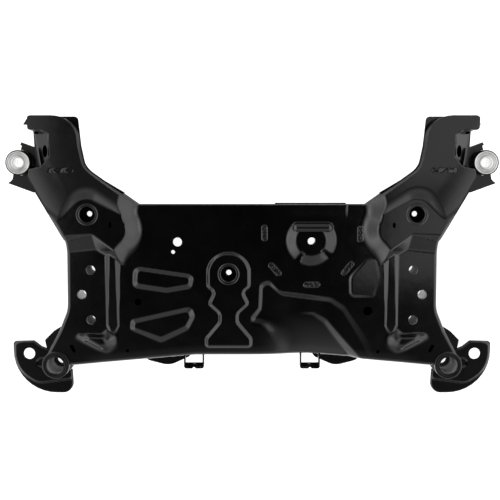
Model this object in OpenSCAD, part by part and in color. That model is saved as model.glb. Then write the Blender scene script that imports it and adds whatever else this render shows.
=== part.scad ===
// Front subframe: pressed and welded cradle with bonded front bushes
// Millimetres. X to the right, Y to the front, Z up, zero at the rear bolt line on the underside.

/* [Sheet metal] */
// Thickness of the upper panel
upper_t = 2.5; // [2:0.1:3]
// Thickness of the lower panel and of the horn plates
lower_t = 2.5; // [2:0.1:3]
// Thickness of brackets, ears, gussets and straps
bracket_t = 3; // [2.5:0.1:3.5]
// Gap between pieces that lie side by side
lap_gap = 0.3; // [0.2:0.05:0.4]

/* [Heights] */
// Top of the deck above the underside
deck_z = 80; // [76:1:84]
// Rise of the ridge beside each rail at its front end
ridge_rise = 6.5; // [5:0.5:8]
// Rise of that ridge at its rear end
ridge_low = 2.5; // [2:0.5:4]
// Rise of the pad behind each ridge
pad_rise = 8; // [6:0.5:9]
// Rise of the plateau that carries the steering gear
plateau_rise = 22; // [20:0.5:24]
// Rise of the horn where it leaves the deck
horn_rise = 30; // [28:0.5:34]
// Further rise of the horn towards its front end
horn_climb = 20; // [16:0.5:24]
// Top of the horn plate at the front end
horn_plate_z = 84; // [80:1:88]
// Lower edge of the upper panel's side walls
skirt_z = 12; // [9:1:15]
// Height of the lower panel's side walls
tray_h = 30; // [26:1:34]

/* [Plan] */
// Front edge of the deck from the rear bolt line
deck_front = 323; // [319:1:327]
// Half width over the rails
rail_half = 372; // [370:1:375]
// Rear edge of the deck at the middle
deck_rear = 19.5; // [17:0.5:22]
// Front end of the horns from the rear bolt line
horn_front = 498; // [494:1:502]
// Outer end of the hook from the centre line
hook_half = 441; // [437:1:445]
// Inner edge of the hook notch from the centre line
notch_half = 392.5; // [388:0.5:396]
// Reach of the sloped flange in the hook notch
flange_reach = 36.5; // [32:0.5:38]

/* [Body mounts] */
// Distance between the rear bolt sleeves
rear_span = 792; // [788:1:796]
// Outer diameter of the rear sleeve tube
rear_tube_d = 38; // [36:0.5:39]
// Wide bore at the top of the rear sleeve
rear_bore_d = 33; // [30:0.5:33]
// Bolt hole in the floor of the rear sleeve
rear_hole_d = 21; // [18:0.5:24]
// Diameter of the collar on the rear sleeve
rear_collar_d = 55; // [54:0.5:58]
// Distance between the front bushes
bush_span = 916; // [912:1:920]
// Front bush axis from the rear bolt line
bush_y = 407; // [404:1:410]
// Outer diameter of the bush eye
eye_d = 49; // [48:0.5:50]
// Wall of the bush eye
eye_wall = 2; // [1.5:0.1:2.5]
// Length of the bush eye
eye_len = 42; // [38:1:46]
// Wall of the bush outer sleeve
bush_wall = 2.2; // [1.6:0.1:2.8]
// Outer diameter of the bush inner sleeve
bush_core_d = 25; // [23:0.5:27]
// Bolt hole through the bush
bush_bore_d = 18.5; // [16:0.5:20]
// Thickness of the turned washers on the bush faces
washer_t = 2; // [1.5:0.1:2.5]

/* [Arm and gear mounts] */
// Distance across the front and rear arm bolts
arm_span = 648; // [644:1:652]
// Distance across the middle arm bolts
arm_mid_span = 684; // [680:1:688]
// Distance from the front arm bolts to the rear ones
arm_pitch = 101; // [97:1:105]
// Middle arm bolts from the rear bolt line
arm_mid_y = 143; // [140:1:146]
// Diameter of the arm bolt holes
arm_hole_d = 19; // [17:0.5:20]
// Outer diameter of the arm bolt tubes
arm_tube_d = 28; // [26:0.5:30]
// Least room between an arm bolt tube and the edge of the rail
rail_room = 10; // [8:1:14]
// Distance across the steering gear collars
gear_span = 652; // [649:1:655]
// Steering gear collars from the rear bolt line
gear_y = 305; // [303:1:307]
// Diameter of the collar flange
collar_d = 44; // [42:0.5:46]
// Wide bore of the collar
collar_bore_d = 30; // [28:0.5:31]
// Bolt hole in the floor of the collar
collar_hole_d = 11; // [9:0.5:13]
// Depth of the collar below its flange
collar_depth = 38; // [34:1:40]
// Bolt hole of the dome nut
dome_hole_d = 16; // [14:0.5:18]

/* [Rear corner] */
// Hole in the rear ear
ear_hole_d = 23.5; // [20:0.5:26]
// Top of the rear ear
ear_z = 44; // [40:1:47]
// Depth of the rim around the rear ear
ear_rim = 15; // [11:1:18]

/* [Bosses and welds] */
// Rise of the two beads on the left half of the deck
bead_rise = 5; // [4:0.5:7]
// Rise of the keyhole boss
keyhole_rise = 5; // [4:0.5:7]
// Rise of the dome
dome_rise = 10; // [8:0.5:12]
// Depth of the rear pan on the right half of the deck
pan_drop = 7; // [5:0.5:8]
// Length of a slot weld
slot_len = 34; // [30:1:36]
// Width of a slot weld
slot_w = 12; // [10:0.5:13]
// How far a weld stands proud of the sheet
weld_proud = 1.2; // [0.8:0.1:1.6]

/* [Which piece] */
// Piece to show

/* [Hidden] */
// Overlap that keeps cut faces apart
eps = 0.1;
// Facets of exact round pieces
round_fn = 64;
// Steps in each rounded corner of a pressed feature, of a horn and of a cut outline
corner_steps = 2;
horn_steps = 4;
fine_steps = 6;
// Room below a form, so that its cavity opens downwards
below = 20;

// Longer than any dimension of the part, for cuts that pass right through
far = 560;

rear_x = rear_span / 2;
gear_x = gear_span / 2;
arm_x = arm_span / 2;
arm_mid_x = arm_mid_span / 2;
arm_front_y = arm_mid_y + arm_pitch / 2 - 1;
arm_rear_y = arm_front_y - arm_pitch;
lap = upper_t + lap_gap;
// The rail takes in its arm tubes and the steering gear collar
rail_x = max(rail_half, max(max(arm_x, arm_mid_x) + arm_tube_d / 2, gear_x + collar_d / 2) + rail_room);
// The hook passes the flange in its notch, and the bush stands clear of that flange
hook_pass = 8;
bush_clear = 4;
flange_x = notch_half + flange_reach;
hook_x = max(hook_half, flange_x + hook_pass);
bush_x = max(bush_span / 2, flange_x + eye_d / 2 + bush_clear);
// Heel of the horn behind the bush, and the two ends of the notch
heel_gap = 21;
heel_x = bush_x - heel_gap;
notch_y = bush_y - 10;
hook_y = bush_y + 63;
hook_least = 20;
horn_end = max(horn_front, hook_y + hook_least);

// Colours of the coated sheet, the bare metal, the rubber and the welds
steel = [0.10, 0.10, 0.11];
bright = [0.75, 0.75, 0.76];
rubber_colour = [0.05, 0.05, 0.05];
weld_colour = [0.16, 0.16, 0.17];

// Outline tools

function unit2(v) = v / norm(v);
function flat(c) = [c.x, c.y];

// Points of one rounded corner b between its neighbours a and c
function bend(a, b, c, r, n) =
    let (u = unit2(a - b),
         v = unit2(c - b),
         half = acos(max(-1, min(1, u * v))) / 2,
         centre = b + unit2(u + v) * r / sin(half),
         p = b + u * r / tan(half),
         start = atan2(p.y - centre.y, p.x - centre.x),
         sweep = (cross(u, v) < 0 ? 1 : -1) * (180 - 2 * half))
    [for (k = [0:n]) centre + r * [cos(start + sweep * k / n), sin(start + sweep * k / n)]];

// Points of an outline given as corners [x, y, radius]
function ring(c, n = corner_steps) =
    let (m = len(c))
    [for (i = [0:m - 1])
        each bend(flat(c[(i + m - 1) % m]), flat(c[i]), flat(c[(i + 1) % m]), c[i].z, n)];

// The corner list moved outwards by d; rounded corners keep their centre
function moved(c, d) =
    let (m = len(c))
    [for (i = [0:m - 1])
        let (e = unit2(flat(c[i]) - flat(c[(i + m - 1) % m])),
             f = unit2(flat(c[(i + 1) % m]) - flat(c[i])),
             n1 = [e.y, -e.x],
             n2 = [f.y, -f.x],
             p = flat(c[i]) + d * (n1 + n2) / (1 + n1 * n2))
        [p.x, p.y, max(c[i].z + (cross(e, f) > 0 ? d : -d), 0.6)]];

// The corner list moved to another place
function placed(c, x, y) = [for (q = c) [q.x + x, q.y + y, q.z]];

// The corner list on the other side of the centre line
function mirrored(c) = [for (i = [len(c) - 1:-1:0]) [-c[i].x, c[i].y, c[i].z]];

// The outline at one height, or on a plane that climbs to the front
function lift(p, z) = [for (q = p) [q.x, q.y, z]];
function climb(p, z, y, slope) = [for (q = p) [q.x, q.y, z + (q.y - y) * slope]];

// Solid through a stack of outlines with equal point counts
module loft(rings) {
    n = len(rings[0]);
    k = len(rings);
    polyhedron(
        points = [for (r = rings) each r],
        faces = concat(
            [[for (i = [0:n - 1]) i]],
            [[for (i = [n - 1:-1:0]) (k - 1) * n + i]],
            [for (r = [0:k - 2]) for (i = [0:n - 1])
                each [[r * n + i, (r + 1) * n + i, (r + 1) * n + (i + 1) % n],
                      [r * n + i, (r + 1) * n + (i + 1) % n, r * n + (i + 1) % n]]]));
}

module right_side() {
    mirror([1, 0, 0])
        children();
}

module both_sides() {
    children();
    right_side()
        children();
}

// Outlines of the left half, counter-clockwise corners [x, y, radius]

// Half width of the end lobe that surrounds the rear sleeve
lobe = 25.5;
lobe_r = 21;
// Outer edge of the horn where it passes the front edge of the deck
horn_side_top = [-rail_x - 53, 347];
horn_side_foot = [-rail_x, 252];
horn_side_run = (horn_side_foot.x - horn_side_top.x) / (horn_side_top.y - horn_side_foot.y);
horn_side_x = horn_side_top.x + (horn_side_top.y - deck_front) * horn_side_run;

deck_half = [
    [horn_side_x, deck_front, 1],
    [horn_side_foot.x, horn_side_foot.y, 40],
    [-rail_x, 112, 60],
    [-rail_x - 16, 72, 30],
    [-rear_x - lobe, 10, 12],
    [-rear_x - lobe, -lobe, lobe_r],
    [-rear_x + lobe, -lobe, lobe_r],
    [-rear_x + lobe + 1, -2.5, 2],
    [-115, deck_rear, 60]];
deck_line = concat(deck_half, mirrored(deck_half));

// Horn: foot of its walls and edge of its crown; its wall stands a little outside the deck wall
horn_step = 1;
horn_foot = [
    [-229, deck_front - 2, 4], [-298, 370, 40], [-331, 396, 40], [-340, 440, 30],
    [-343, horn_end, 46], [-hook_x, horn_end, 7], [-hook_x, hook_y, 7],
    [-flange_x, hook_y - 1, 3], [-flange_x + 2, bush_y + 25, 30], [-flange_x + 10, notch_y + 2, 3],
    [-heel_x, notch_y - 2, 5], [-heel_x - 4, bush_y - 33, 20],
    [horn_side_top.x - horn_step, horn_side_top.y, 20],
    [horn_side_foot.x - horn_step, horn_side_foot.y, 12], [-330, 262, 3], [-248, 286, 10]];
horn_crown = [
    [-258, 331, 3], [-303, 361, 34], [-338, 388, 32], [-349, 438, 24],
    [-352, horn_end - 7, 38], [-hook_x + 6, horn_end - 7, 3], [-hook_x + 6, hook_y + 7, 3],
    [-flange_x + 7, hook_y + 6, 3], [-flange_x + 9, bush_y + 25, 28], [-flange_x + 17, notch_y - 5, 3],
    [-heel_x + 8, notch_y - 10, 4], [-heel_x + 8, bush_y - 36, 14],
    [-rail_x - 41, 342, 16], [-rail_x + 10, 256, 30], [-326, 268, 1], [-268, 285, 5]];
horn_root_y = 330;
horn_slope = horn_climb / (horn_end - horn_root_y);
horn_z = deck_z + horn_rise;
// Height of the rolled shoulder of the horn and its share of the run
shoulder = 16;
shoulder_soft = 5;
shoulder_share = 0.3;
// Floor of the hook notch: it leaves the horn's top by a small step and falls outwards as a flange
notch_edge = notch_half + 3.5;
notch_line = [
    [-notch_edge, hook_y - 8, 4], [-notch_edge - 14, hook_y - 0.5, 12], [-flange_x - 20, hook_y - 0.5, 2],
    [-flange_x - 20, notch_y + 1, 2], [-notch_edge - 17, notch_y + 4, 10], [-notch_edge, notch_y + 22, 6]];
notch_step = 3;
notch_fall = 0.7;
notch_draft = 4;
// Oval hole in that flange and the slit behind the hook: middle, length and width; corners
flange_hole_at = [-notch_edge - 8.5, bush_y + 22];
flange_hole = [24, 11];
hook_slit = [
    [-notch_edge - 31, hook_y - 1.5, 1], [-notch_edge - 31, hook_y - 7, 1],
    [-notch_edge - 16, hook_y - 8, 6], [-notch_edge - 5, hook_y - 7, 1], [-notch_edge - 16, hook_y - 2, 6]];

// Plateau for the steering gear: edge of its top and foot of its walls
plateau_top = [
    [-rail_x - 22, 320, 2], [-rail_x + 6, 264, 3], [-318, 268, 20], [-274, 236, 3],
    [-259, 252, 12], [-252, 282, 20], [-264, 305, 10], [-300, 345, 2]];
plateau_foot = [
    [-rail_x - 22, 320, 2], [-rail_x + 4, 220, 3], [-318, 232, 20], [-270, 208, 3],
    [-236, 238, 24], [-221, 284, 30], [-234, 316, 10], [-300, 345, 2]];

// Ridge beside the rail: edge of its top and foot of its walls
ridge_front = 240;
ridge_rear = 80;
ridge_top = [
    [-283.5, ridge_front, 1], [-289, ridge_rear + 4, 8], [-281, ridge_rear - 14, 4],
    [-270, ridge_rear, 8], [-276.5, ridge_front, 1]];
ridge_foot = [
    [-295, ridge_front, 1], [-293.5, ridge_rear, 6], [-282, ridge_rear - 38, 8],
    [-267, ridge_rear - 2, 10], [-261, ridge_front, 1]];
ridge_taper = (ridge_rise - ridge_low) / (ridge_front - ridge_rear);

// Pad behind the ridge: foot of its long walls and edge of its small flat
pad_foot = [
    [-270, 62, 12], [-291, 76, 3], [-303, 61, 14], [-350, 66, 10],
    [-360, 54, 6], [-312, 31, 20], [-290, 22, 16], [-268, 38, 16]];
pad_top = [
    [-298.5, 50, 2], [-301, 56, 2], [-306, 58, 3], [-328, 58.5, 1.5],
    [-330, 57, 1.5], [-312, 46, 6], [-303, 41, 3], [-298.5, 44, 3]];

// Two beads on the left half of the deck
bead_one_foot = [[-238, 202, 14], [-241, 156, 12], [-171, 146, 20], [-120, 155, 10], [-114, 184, 12]];
bead_one_top = [[-228, 191, 7], [-230, 167, 7], [-171, 158, 15], [-130, 165, 5], [-125, 176, 6]];
bead_two_foot = [
    [-244, 94, 10], [-247, 72, 8], [-183, 44, 14], [-127, 71, 14], [-113, 98, 12], [-119, 122, 12]];
bead_two_top = [
    [-234, 84, 2], [-235, 77, 3], [-183, 59, 10], [-135, 81, 8], [-126, 98, 7], [-130, 107, 7]];

// Keyhole boss around the centre collar
collar_at = [-47, 185];
keyhole_r = 45;
keyhole_foot = [
    [collar_at.x - keyhole_r, 230, 44], [collar_at.x - keyhole_r, 158, 15], [-78, 148, 8],
    [-90, 124, 10], [-68, 104, 10], [-68, 88, 10], [-95, 56, 14], [-95, 34, 9],
    [1, 34, 9], [1, 56, 14], [-26, 88, 10], [-26, 104, 10], [-4, 124, 10],
    [-16, 148, 8], [collar_at.x + keyhole_r, 158, 15], [collar_at.x + keyhole_r, 230, 44]];
keyhole_run = 7;

// Drop-shaped boss beside the right ridge
drop_foot = [
    [227, 217, 9], [193, 180, 24], [194, 137, 14], [247, 136, 8], [259, 176, 22], [252, 216, 9]];
drop_run = 7;
drop_rise = 4;

// Dome with the bar across its front side
dome_at = [118, 252];
dome_foot_r = 52;
dome_top_r = 28;
bar_half = 33;
bar_y = 280;
bar_foot_r = 9;
bar_top_r = 4;
bar_rise = 3;
bar_root = 6;

// Rear pan on the right half: edge at deck level and edge of its floor
pan_edge = [
    [6, 110, 4], [6, -20, 1], [262, -20, 1], [236, 50, 8], [188, 120, 22],
    [160, 138, 24], [54, 151, 12], [34, 174, 11], [14, 166, 12], [13, 118, 6]];
pan_floor = [
    [16, 104, 3], [26, -20, 1], [254, -20, 1], [218, 48, 6], [181, 109, 18],
    [156, 127, 20], [60, 140, 18], [32, 163, 7], [22, 155, 7], [20, 112, 6]];
// Lower part of the pan, its floor falls to the rear edge
fall_edge = [[22, 104, 6], [18, -20, 1], [246, -20, 1], [206, 30, 4], [124, 108, 8]];
fall_floor = [[40, 100, 4], [48, -20, 1], [236, -20, 1], [199, 26, 3], [122, 101, 6]];
fall_slope = 0.15;
fall_y = 104;

// Forms of the upper panel; s is the distance inside the outer skin

module deck_form(s) {
    p = moved(deck_line, -s);
    roll = [10, 3, 2, 8];
    loft([lift(ring(p), skirt_z - s * below),
        lift(ring(p), deck_z - roll[0]),
        lift(ring(moved(p, -roll[2])), deck_z - roll[1] - s * 0.8),
        lift(ring(moved(p, -roll[3])), deck_z - s)]);
}

module horn_form(s) {
    foot = ring(moved(horn_foot, -s), horn_steps);
    crown = ring(moved(horn_crown, -s * 0.4), horn_steps);
    base = [for (q = foot) [q.x, q.y, skirt_z - s * below]];
    soft = foot * (1 - shoulder_share) + crown * shoulder_share;
    loft([base,
        climb(foot, horn_z - shoulder, horn_root_y, horn_slope),
        climb(soft, horn_z - shoulder_soft - s * 0.7, horn_root_y, horn_slope),
        climb(crown, horn_z - s, horn_root_y, horn_slope)]);
}

// Cut that leaves the sloped flange in the hook notch
module notch_form(s) {
    p = moved(notch_line, s * 0.5);
    base = [for (q = ring(p, horn_steps))
        [q.x, q.y, horn_z + (q.y - horn_root_y) * horn_slope - notch_step - s * 1.2
            + (q.x + notch_edge) * notch_fall]];
    loft([base, lift(ring(moved(p, notch_draft), horn_steps), horn_z + horn_climb + below)]);
}

// Hollow in the horn that leaves the plateau free around the gear collar
module dish(s) {
    dish_run = 13;
    dish_h = 12;
    spots = [[-gear_x, gear_y, 31], [-262, 296, 9], [-rail_x - 31, 258, 10], [-rail_x, 220, 10],
        [-262, 240, 10]];
    hull() {
        for (d = spots) {
            translate([d[0], d[1], deck_z + plateau_rise - s])
                cylinder(r1 = d[2] + s, r2 = d[2] + s + dish_run, h = dish_h, $fn = 32);
            translate([d[0], d[1], deck_z + plateau_rise - s + dish_h])
                cylinder(r = d[2] + s + dish_run, h = dish_h + below, $fn = 32);
        }
    }
}

module plateau_form(s) {
    top = ring(moved(plateau_top, -s * 0.5));
    foot = ring(moved(plateau_foot, -s * 0.5));
    loft([lift(foot, deck_z - below), lift(foot, deck_z - s), lift(top, deck_z + plateau_rise - s)]);
}

module ridge_form(s) {
    top = ring(moved(ridge_top, -s * 0.5));
    foot = ring(moved(ridge_foot, -s * 0.5));
    loft([lift(foot, deck_z - below), lift(foot, deck_z - s),
        climb(top, deck_z + ridge_rise - s, ridge_front, ridge_taper)]);
}

module boss_form(foot, top, rise, s) {
    a = ring(moved(foot, -s * 0.5));
    b = ring(moved(top, -s * 0.5));
    loft([lift(a, deck_z - below), lift(a, deck_z - s), lift(b, deck_z + rise - s)]);
}

module dome_form(s) {
    translate([dome_at.x, dome_at.y, deck_z - s])
        cylinder(r1 = dome_foot_r - s * 0.5, r2 = dome_top_r - s * 0.5, h = dome_rise, $fn = 48);
    hull() {
        for (i = [-1, 1]) {
            translate([dome_at.x + 2 + i * bar_half, bar_y, deck_z + bar_root - s])
                cylinder(r1 = bar_foot_r - s * 0.5, r2 = bar_top_r - s * 0.5,
                    h = dome_rise + bar_rise - bar_root, $fn = 24);
            translate([dome_at.x + 2 + i * bar_half, bar_y, deck_z - s - 1])
                cylinder(r = bar_foot_r - s * 0.5, h = bar_root, $fn = 24);
        }
    }
}

module pan_form(s) {
    edge = ring(moved(pan_edge, s * 0.5));
    base = ring(moved(pan_floor, s * 0.5));
    loft([lift(base, deck_z - pan_drop - s), lift(edge, deck_z - s), lift(edge, deck_z + below)]);
    low_edge = ring(moved(fall_edge, s * 0.5));
    low_base = ring(moved(fall_floor, s * 0.5));
    loft([climb(low_base, deck_z - pan_drop - 2 - s, fall_y, fall_slope),
        lift(low_edge, deck_z - pan_drop + 1 - s), lift(low_edge, deck_z - pan_drop + below)]);
}

module upper_form(s) {
    difference() {
        union() {
            deck_form(s);
            both_sides() {
                difference() {
                    horn_form(s);
                    dish(s);
                    notch_form(s);
                }
                plateau_form(s);
                ridge_form(s);
                boss_form(pad_foot, pad_top, pad_rise, s);
            }
            boss_form(bead_one_foot, bead_one_top, bead_rise, s);
            boss_form(bead_two_foot, bead_two_top, bead_rise, s);
            boss_form(keyhole_foot, moved(keyhole_foot, -keyhole_run), keyhole_rise, s);
            boss_form(drop_foot, moved(drop_foot, -drop_run), drop_rise, s);
            dome_form(s);
        }
        pan_form(s);
    }
}

// Holes of the deck: [x, y, diameter]
deck_holes = [[-149, 249, 18], [-158, 229, 8], [-229, 128, 14], [233, 110, 18],
    [-251, 29, 7], [254, 27, 7], [-91, 264, 3], [-218, 269, 4], [-10, 281, 4]];
// Slot welds: [x, y, angle]
weld_slots = [[25, 267, 92], [217, 265, 88], [46, 194, -47], [192, 196, 51], [120, 163, 0]];
// Drain slot near each rear sleeve: start and end, diameter
drain_slot = [[-rear_x + 32, 38], [-rear_x + 37, 29], 7];
// Small slot in each plateau: start and end, diameter
plateau_slot = [[-281, 281], [-281, 286], 6];

module long_hole(a, b, d, z0, z1) {
    hull() {
        for (p = [a, b])
            translate([p.x, p.y, z0])
                cylinder(d = d, h = z1 - z0, $fn = 24);
    }
}

// Ends of a slot weld's middle line
function slot_ends(at) =
    let (reach = (slot_len - slot_w) / 2 * [cos(at[2]), sin(at[2])])
    [flat(at) - reach, flat(at) + reach];

// Top of the horn plate as seen from the side: [y, z] points
ramp_start = deck_front + 3;
ramp_end = bush_y - 2;
wall_start = deck_front + 20;
function plate_z(y) = tray_h + lower_t
    + (horn_plate_z - tray_h - lower_t) * (y - ramp_start) / (ramp_end - ramp_start);

// Space under the horns that the upper panel leaves free for the horn plate
module under_horns() {
    rotate([90, 0, 90])
        translate([0, 0, -far])
            linear_extrude(2 * far)
                polygon([[wall_start, -far], [far, -far], [far, horn_plate_z + eps],
                    [ramp_end, horn_plate_z + eps], [wall_start, plate_z(wall_start) + eps]]);
}

// Pieces

module upper_panel() {
    color(steel)
        difference() {
            upper_form(0);
            upper_form(upper_t);
            under_horns();
            through = deck_z + plateau_rise + horn_rise + horn_climb;
            both_sides() {
                for (p = [[-arm_x, arm_front_y], [-arm_mid_x, arm_mid_y], [-arm_x, arm_rear_y]])
                    translate([p.x, p.y, skirt_z])
                        cylinder(d = arm_hole_d, h = through, $fn = 32);
                translate([-rear_x, 0, skirt_z])
                    cylinder(d = rear_tube_d + 2 * lap_gap, h = through, $fn = 40);
                translate([-gear_x, gear_y, skirt_z])
                    cylinder(d = collar_body_d + 2 * lap_gap, h = through, $fn = 40);
                long_hole(drain_slot[0], drain_slot[1], drain_slot[2], skirt_z, deck_z + eps);
                long_hole(plateau_slot[0], plateau_slot[1], plateau_slot[2], skirt_z, through);
                translate([flange_hole_at.x, flange_hole_at.y, horn_plate_z + eps])
                    scale([flange_hole[1] / flange_hole[0], 1, 1])
                        cylinder(d = flange_hole[0], h = through, $fn = 32);
                translate([0, 0, horn_plate_z + eps])
                    linear_extrude(through)
                        polygon(ring(hook_slit));
                long_hole(horn_weld_at[0], horn_weld_at[1], horn_weld_d, deck_z + horn_rise / 2, through);
            }
            translate([collar_at.x, collar_at.y, skirt_z])
                cylinder(d = collar_body_d + 2 * lap_gap, h = through, $fn = 40);
            translate([dome_at.x, dome_at.y, skirt_z])
                cylinder(d = dome_hole_d + 2, h = through, $fn = 40);
            for (h = deck_holes)
                translate([h[0], h[1], skirt_z])
                    cylinder(d = h[2], h = through, $fn = 24);
            for (w = weld_slots)
                long_hole(slot_ends(w)[0], slot_ends(w)[1], slot_w, skirt_z, deck_z + eps);
        }
}

// Lower panel: a tray whose walls lie inside the walls of the upper panel
tray_line = moved(deck_line, -lap);
tray_bead_rise = 7;
tray_bead_w = 30;
// Pressed beads of the tray: start and end
tray_beads = [[[-230, 190], [-95, 190]], [[-230, 95], [-120, 95]], [[85, 100], [230, 100]],
    [[150, 215], [235, 215]], [[-20, 120], [-20, 55]]];
// Lip of the tray at the rear of each half, and along the front edge of the deck
rear_lip = [[-232, 30, 1], [-224, -3, 22], [-173, -16, 40], [-131, 3, 14], [-112, 30, 1]];
front_lip = [[46, deck_front - 10], [196, deck_front - 10], [194, deck_front + 2], [48, deck_front + 2]];
// Room in the tray below the centre collar
collar_room_d = 36;
// Access hole below each gear collar: further out, further back, diameter
gear_access = [8, 7, 32];
// Access holes of the tray: [x, y, diameter]
tray_holes = [[-158, 235, 52], [124, 245, 16], [-140, 140, 40], [60, 60, 40],
    [200, 150, 40], [-230, 50, 12], [235, 50, 12]];

module bar_2d(a, b, w) {
    length = norm(b - a);
    translate(a)
        rotate(atan2(b.y - a.y, b.x - a.x)) {
            translate([0, -w / 2])
                square([length, w]);
            circle(d = w, $fn = 32);
            translate([length, 0])
                circle(d = w, $fn = 32);
        }
}

module lower_panel() {
    color(steel)
        difference() {
            union() {
                linear_extrude(lower_t)
                    polygon(ring(tray_line));
                difference() {
                    linear_extrude(tray_h)
                        polygon(ring(tray_line));
                    translate([0, 0, -eps])
                        linear_extrude(tray_h + 2 * eps)
                            polygon(ring(moved(tray_line, -lower_t)));
                }
                for (b = tray_beads)
                    linear_extrude(tray_bead_rise + lower_t)
                        bar_2d(b[0], b[1], tray_bead_w);
                for (c = [rear_lip, mirrored(rear_lip)])
                    linear_extrude(lower_t)
                        polygon(ring(c, fine_steps));
                linear_extrude(lower_t)
                    polygon(front_lip);
            }
            for (b = tray_beads)
                translate([0, 0, -eps])
                    linear_extrude(tray_bead_rise + eps)
                        bar_2d(b[0], b[1], tray_bead_w - 2 * lower_t);
            for (i = [-1, 1]) {
                for (p = [[arm_x, arm_front_y], [arm_mid_x, arm_mid_y], [arm_x, arm_rear_y]])
                    translate([i * p.x, p.y, -eps])
                        cylinder(d = arm_hole_d, h = tray_h, $fn = round_fn);
                translate([i * rear_x, 0, -eps])
                    cylinder(d = rear_tube_d + 2 * lap_gap, h = tray_h, $fn = round_fn);
                translate([i * (gear_x + gear_access[0]), gear_y - gear_access[1], -eps])
                    cylinder(d = gear_access[2], h = tray_h / 2, $fn = round_fn);
            }
            translate([collar_at.x, collar_at.y, -eps])
                cylinder(d = collar_room_d, h = tray_h, $fn = round_fn);
            for (h = tray_holes)
                translate([h[0], h[1], -eps])
                    cylinder(d = h[2], h = tray_h, $fn = round_fn);
        }
}

// Horn plate: bent sheet below the horn, wider than the horn in front of the ramp
plate_lip = 2;
plate_rear = deck_front - 10;
plate_line = [
    [-rail_x - 28, plate_rear, 1], [-241, plate_rear, 1], [-269, wall_start + 1, 1],
    [-256, wall_start + 3, 1], [-297, 372, 30], [-329, 397, 40], [-338, 440, 30],
    [-346 + plate_lip, horn_end, 8],
    [-hook_x + 3, horn_end, 4], [-hook_x - 5, hook_y + 23, 4], [-hook_x - 12, hook_y + 12, 0.6],
    [-hook_x + 4, hook_y + 11, 2], [-flange_x - 2, hook_y - 8, 2], [-flange_x - 2, notch_y + 5, 4],
    [-heel_x - 4, notch_y - 1, 3], [-heel_x - 7, bush_y - 33, 20],
    [-rail_x - 57, wall_start + 3, 2], [-rail_x - 41, wall_start + 1, 1]];

module left_horn_plate() {
    color(steel)
        intersection() {
            difference() {
                linear_extrude(deck_z + horn_rise)
                    polygon(ring(plate_line, fine_steps));
                translate([-bush_x, bush_y, -eps])
                    cylinder(d = eye_d + 2 * lap_gap, h = deck_z + horn_rise, $fn = round_fn);
            }
            rotate([90, 0, -90])
                linear_extrude(far)
                    mirror([1, 0])
                        polygon([[0, tray_h], [ramp_start, tray_h], [ramp_end, horn_plate_z - lower_t],
                            [far, horn_plate_z - lower_t], [far, horn_plate_z], [ramp_end, horn_plate_z],
                            [ramp_start, tray_h + lower_t], [0, tray_h + lower_t]]);
        }
}

module right_horn_plate() {
    right_side()
        left_horn_plate();
}

// Bush bracket: sheet on the horn plate with a front and a rear wall
bracket_wall = 14;
bracket_drop = 26;
bracket_lip = 6;
bracket_wall_share = 0.69;
bracket_shape = [
    [4, 40, 3], [0, 23, 1], [-12, -7, 2], [-17, -33, 3], [-25, -41, 2],
    [27, -60, 2], [34, -7, 2], [34, 29, 2]];
bracket_floor = placed(bracket_shape, -bush_x, bush_y);

// Strip of width w on the left of the way from a to b
function strip(a, b, w) =
    let (u = unit2(b - a) * w, n = [-u.y, u.x])
    [a, b, b + n, a + n];

module left_bush_bracket() {
    z0 = horn_plate_z;
    front = [flat(bracket_floor[7]), flat(bracket_floor[0])];
    rear = [flat(bracket_floor[4]), flat(bracket_floor[5])];
    rear_end = rear[0] + (rear[1] - rear[0]) * bracket_wall_share;
    color(steel)
        difference() {
            union() {
                translate([0, 0, z0])
                    linear_extrude(bracket_t)
                        polygon(ring(bracket_floor, fine_steps));
                translate([0, 0, z0])
                    linear_extrude(bracket_wall)
                        polygon(strip(front[0], front[1], bracket_t));
                translate([0, 0, z0 + bracket_wall - bracket_t])
                    linear_extrude(bracket_t)
                        polygon(strip(front[0], front[1], bracket_lip));
                translate([0, 0, z0 - bracket_drop])
                    linear_extrude(bracket_drop + bracket_t)
                        polygon(strip(rear[0], rear_end, bracket_t));
            }
            translate([-bush_x, bush_y, 0])
                cylinder(d = eye_d + 2 * lap_gap, h = deck_z * 2, $fn = round_fn);
            translate([0, 0, z0 - bracket_drop - eps])
                linear_extrude(deck_z)
                    polygon(ring(moved(horn_foot, lap_gap), horn_steps));
            translate([0, 0, -eps])
                linear_extrude(z0)
                    polygon(ring(moved(plate_line, lap_gap), fine_steps));
        }
}

module right_bush_bracket() {
    right_side()
        left_bush_bracket();
}

// Front bush: eye, outer sleeve, rubber, washers and inner sleeve on one axis
bush_mid_z = horn_plate_z + 8;
eye_bore_d = eye_d - 2 * eye_wall;
bush_rubber_d = eye_bore_d - 2 * bush_wall;
// Inner sleeve stands proud of the eye at both ends
core_proud = 2;
// Depth of the washers below the ends of the eye
washer_inset = 1.5;

module tube(outer, inner, length) {
    translate([0, 0, bush_mid_z - length / 2])
        difference() {
            cylinder(d = outer, h = length, $fn = round_fn);
            translate([0, 0, -eps])
                cylinder(d = inner, h = length + 2 * eps, $fn = round_fn);
        }
}

module left_bush_eye() {
    color(steel)
        translate([-bush_x, bush_y, 0])
            tube(eye_d, eye_bore_d, eye_len);
}

module right_bush_eye() {
    right_side()
        left_bush_eye();
}

module left_bush_outer_sleeve() {
    color(bright)
        translate([-bush_x, bush_y, 0])
            tube(eye_bore_d, bush_rubber_d, eye_len);
}

module right_bush_outer_sleeve() {
    right_side()
        left_bush_outer_sleeve();
}

module left_bush_rubber() {
    color(rubber_colour)
        translate([-bush_x, bush_y, 0])
            tube(bush_rubber_d, bush_core_d, eye_len - 2 * washer_inset - 2 * washer_t);
}

module right_bush_rubber() {
    right_side()
        left_bush_rubber();
}

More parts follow.
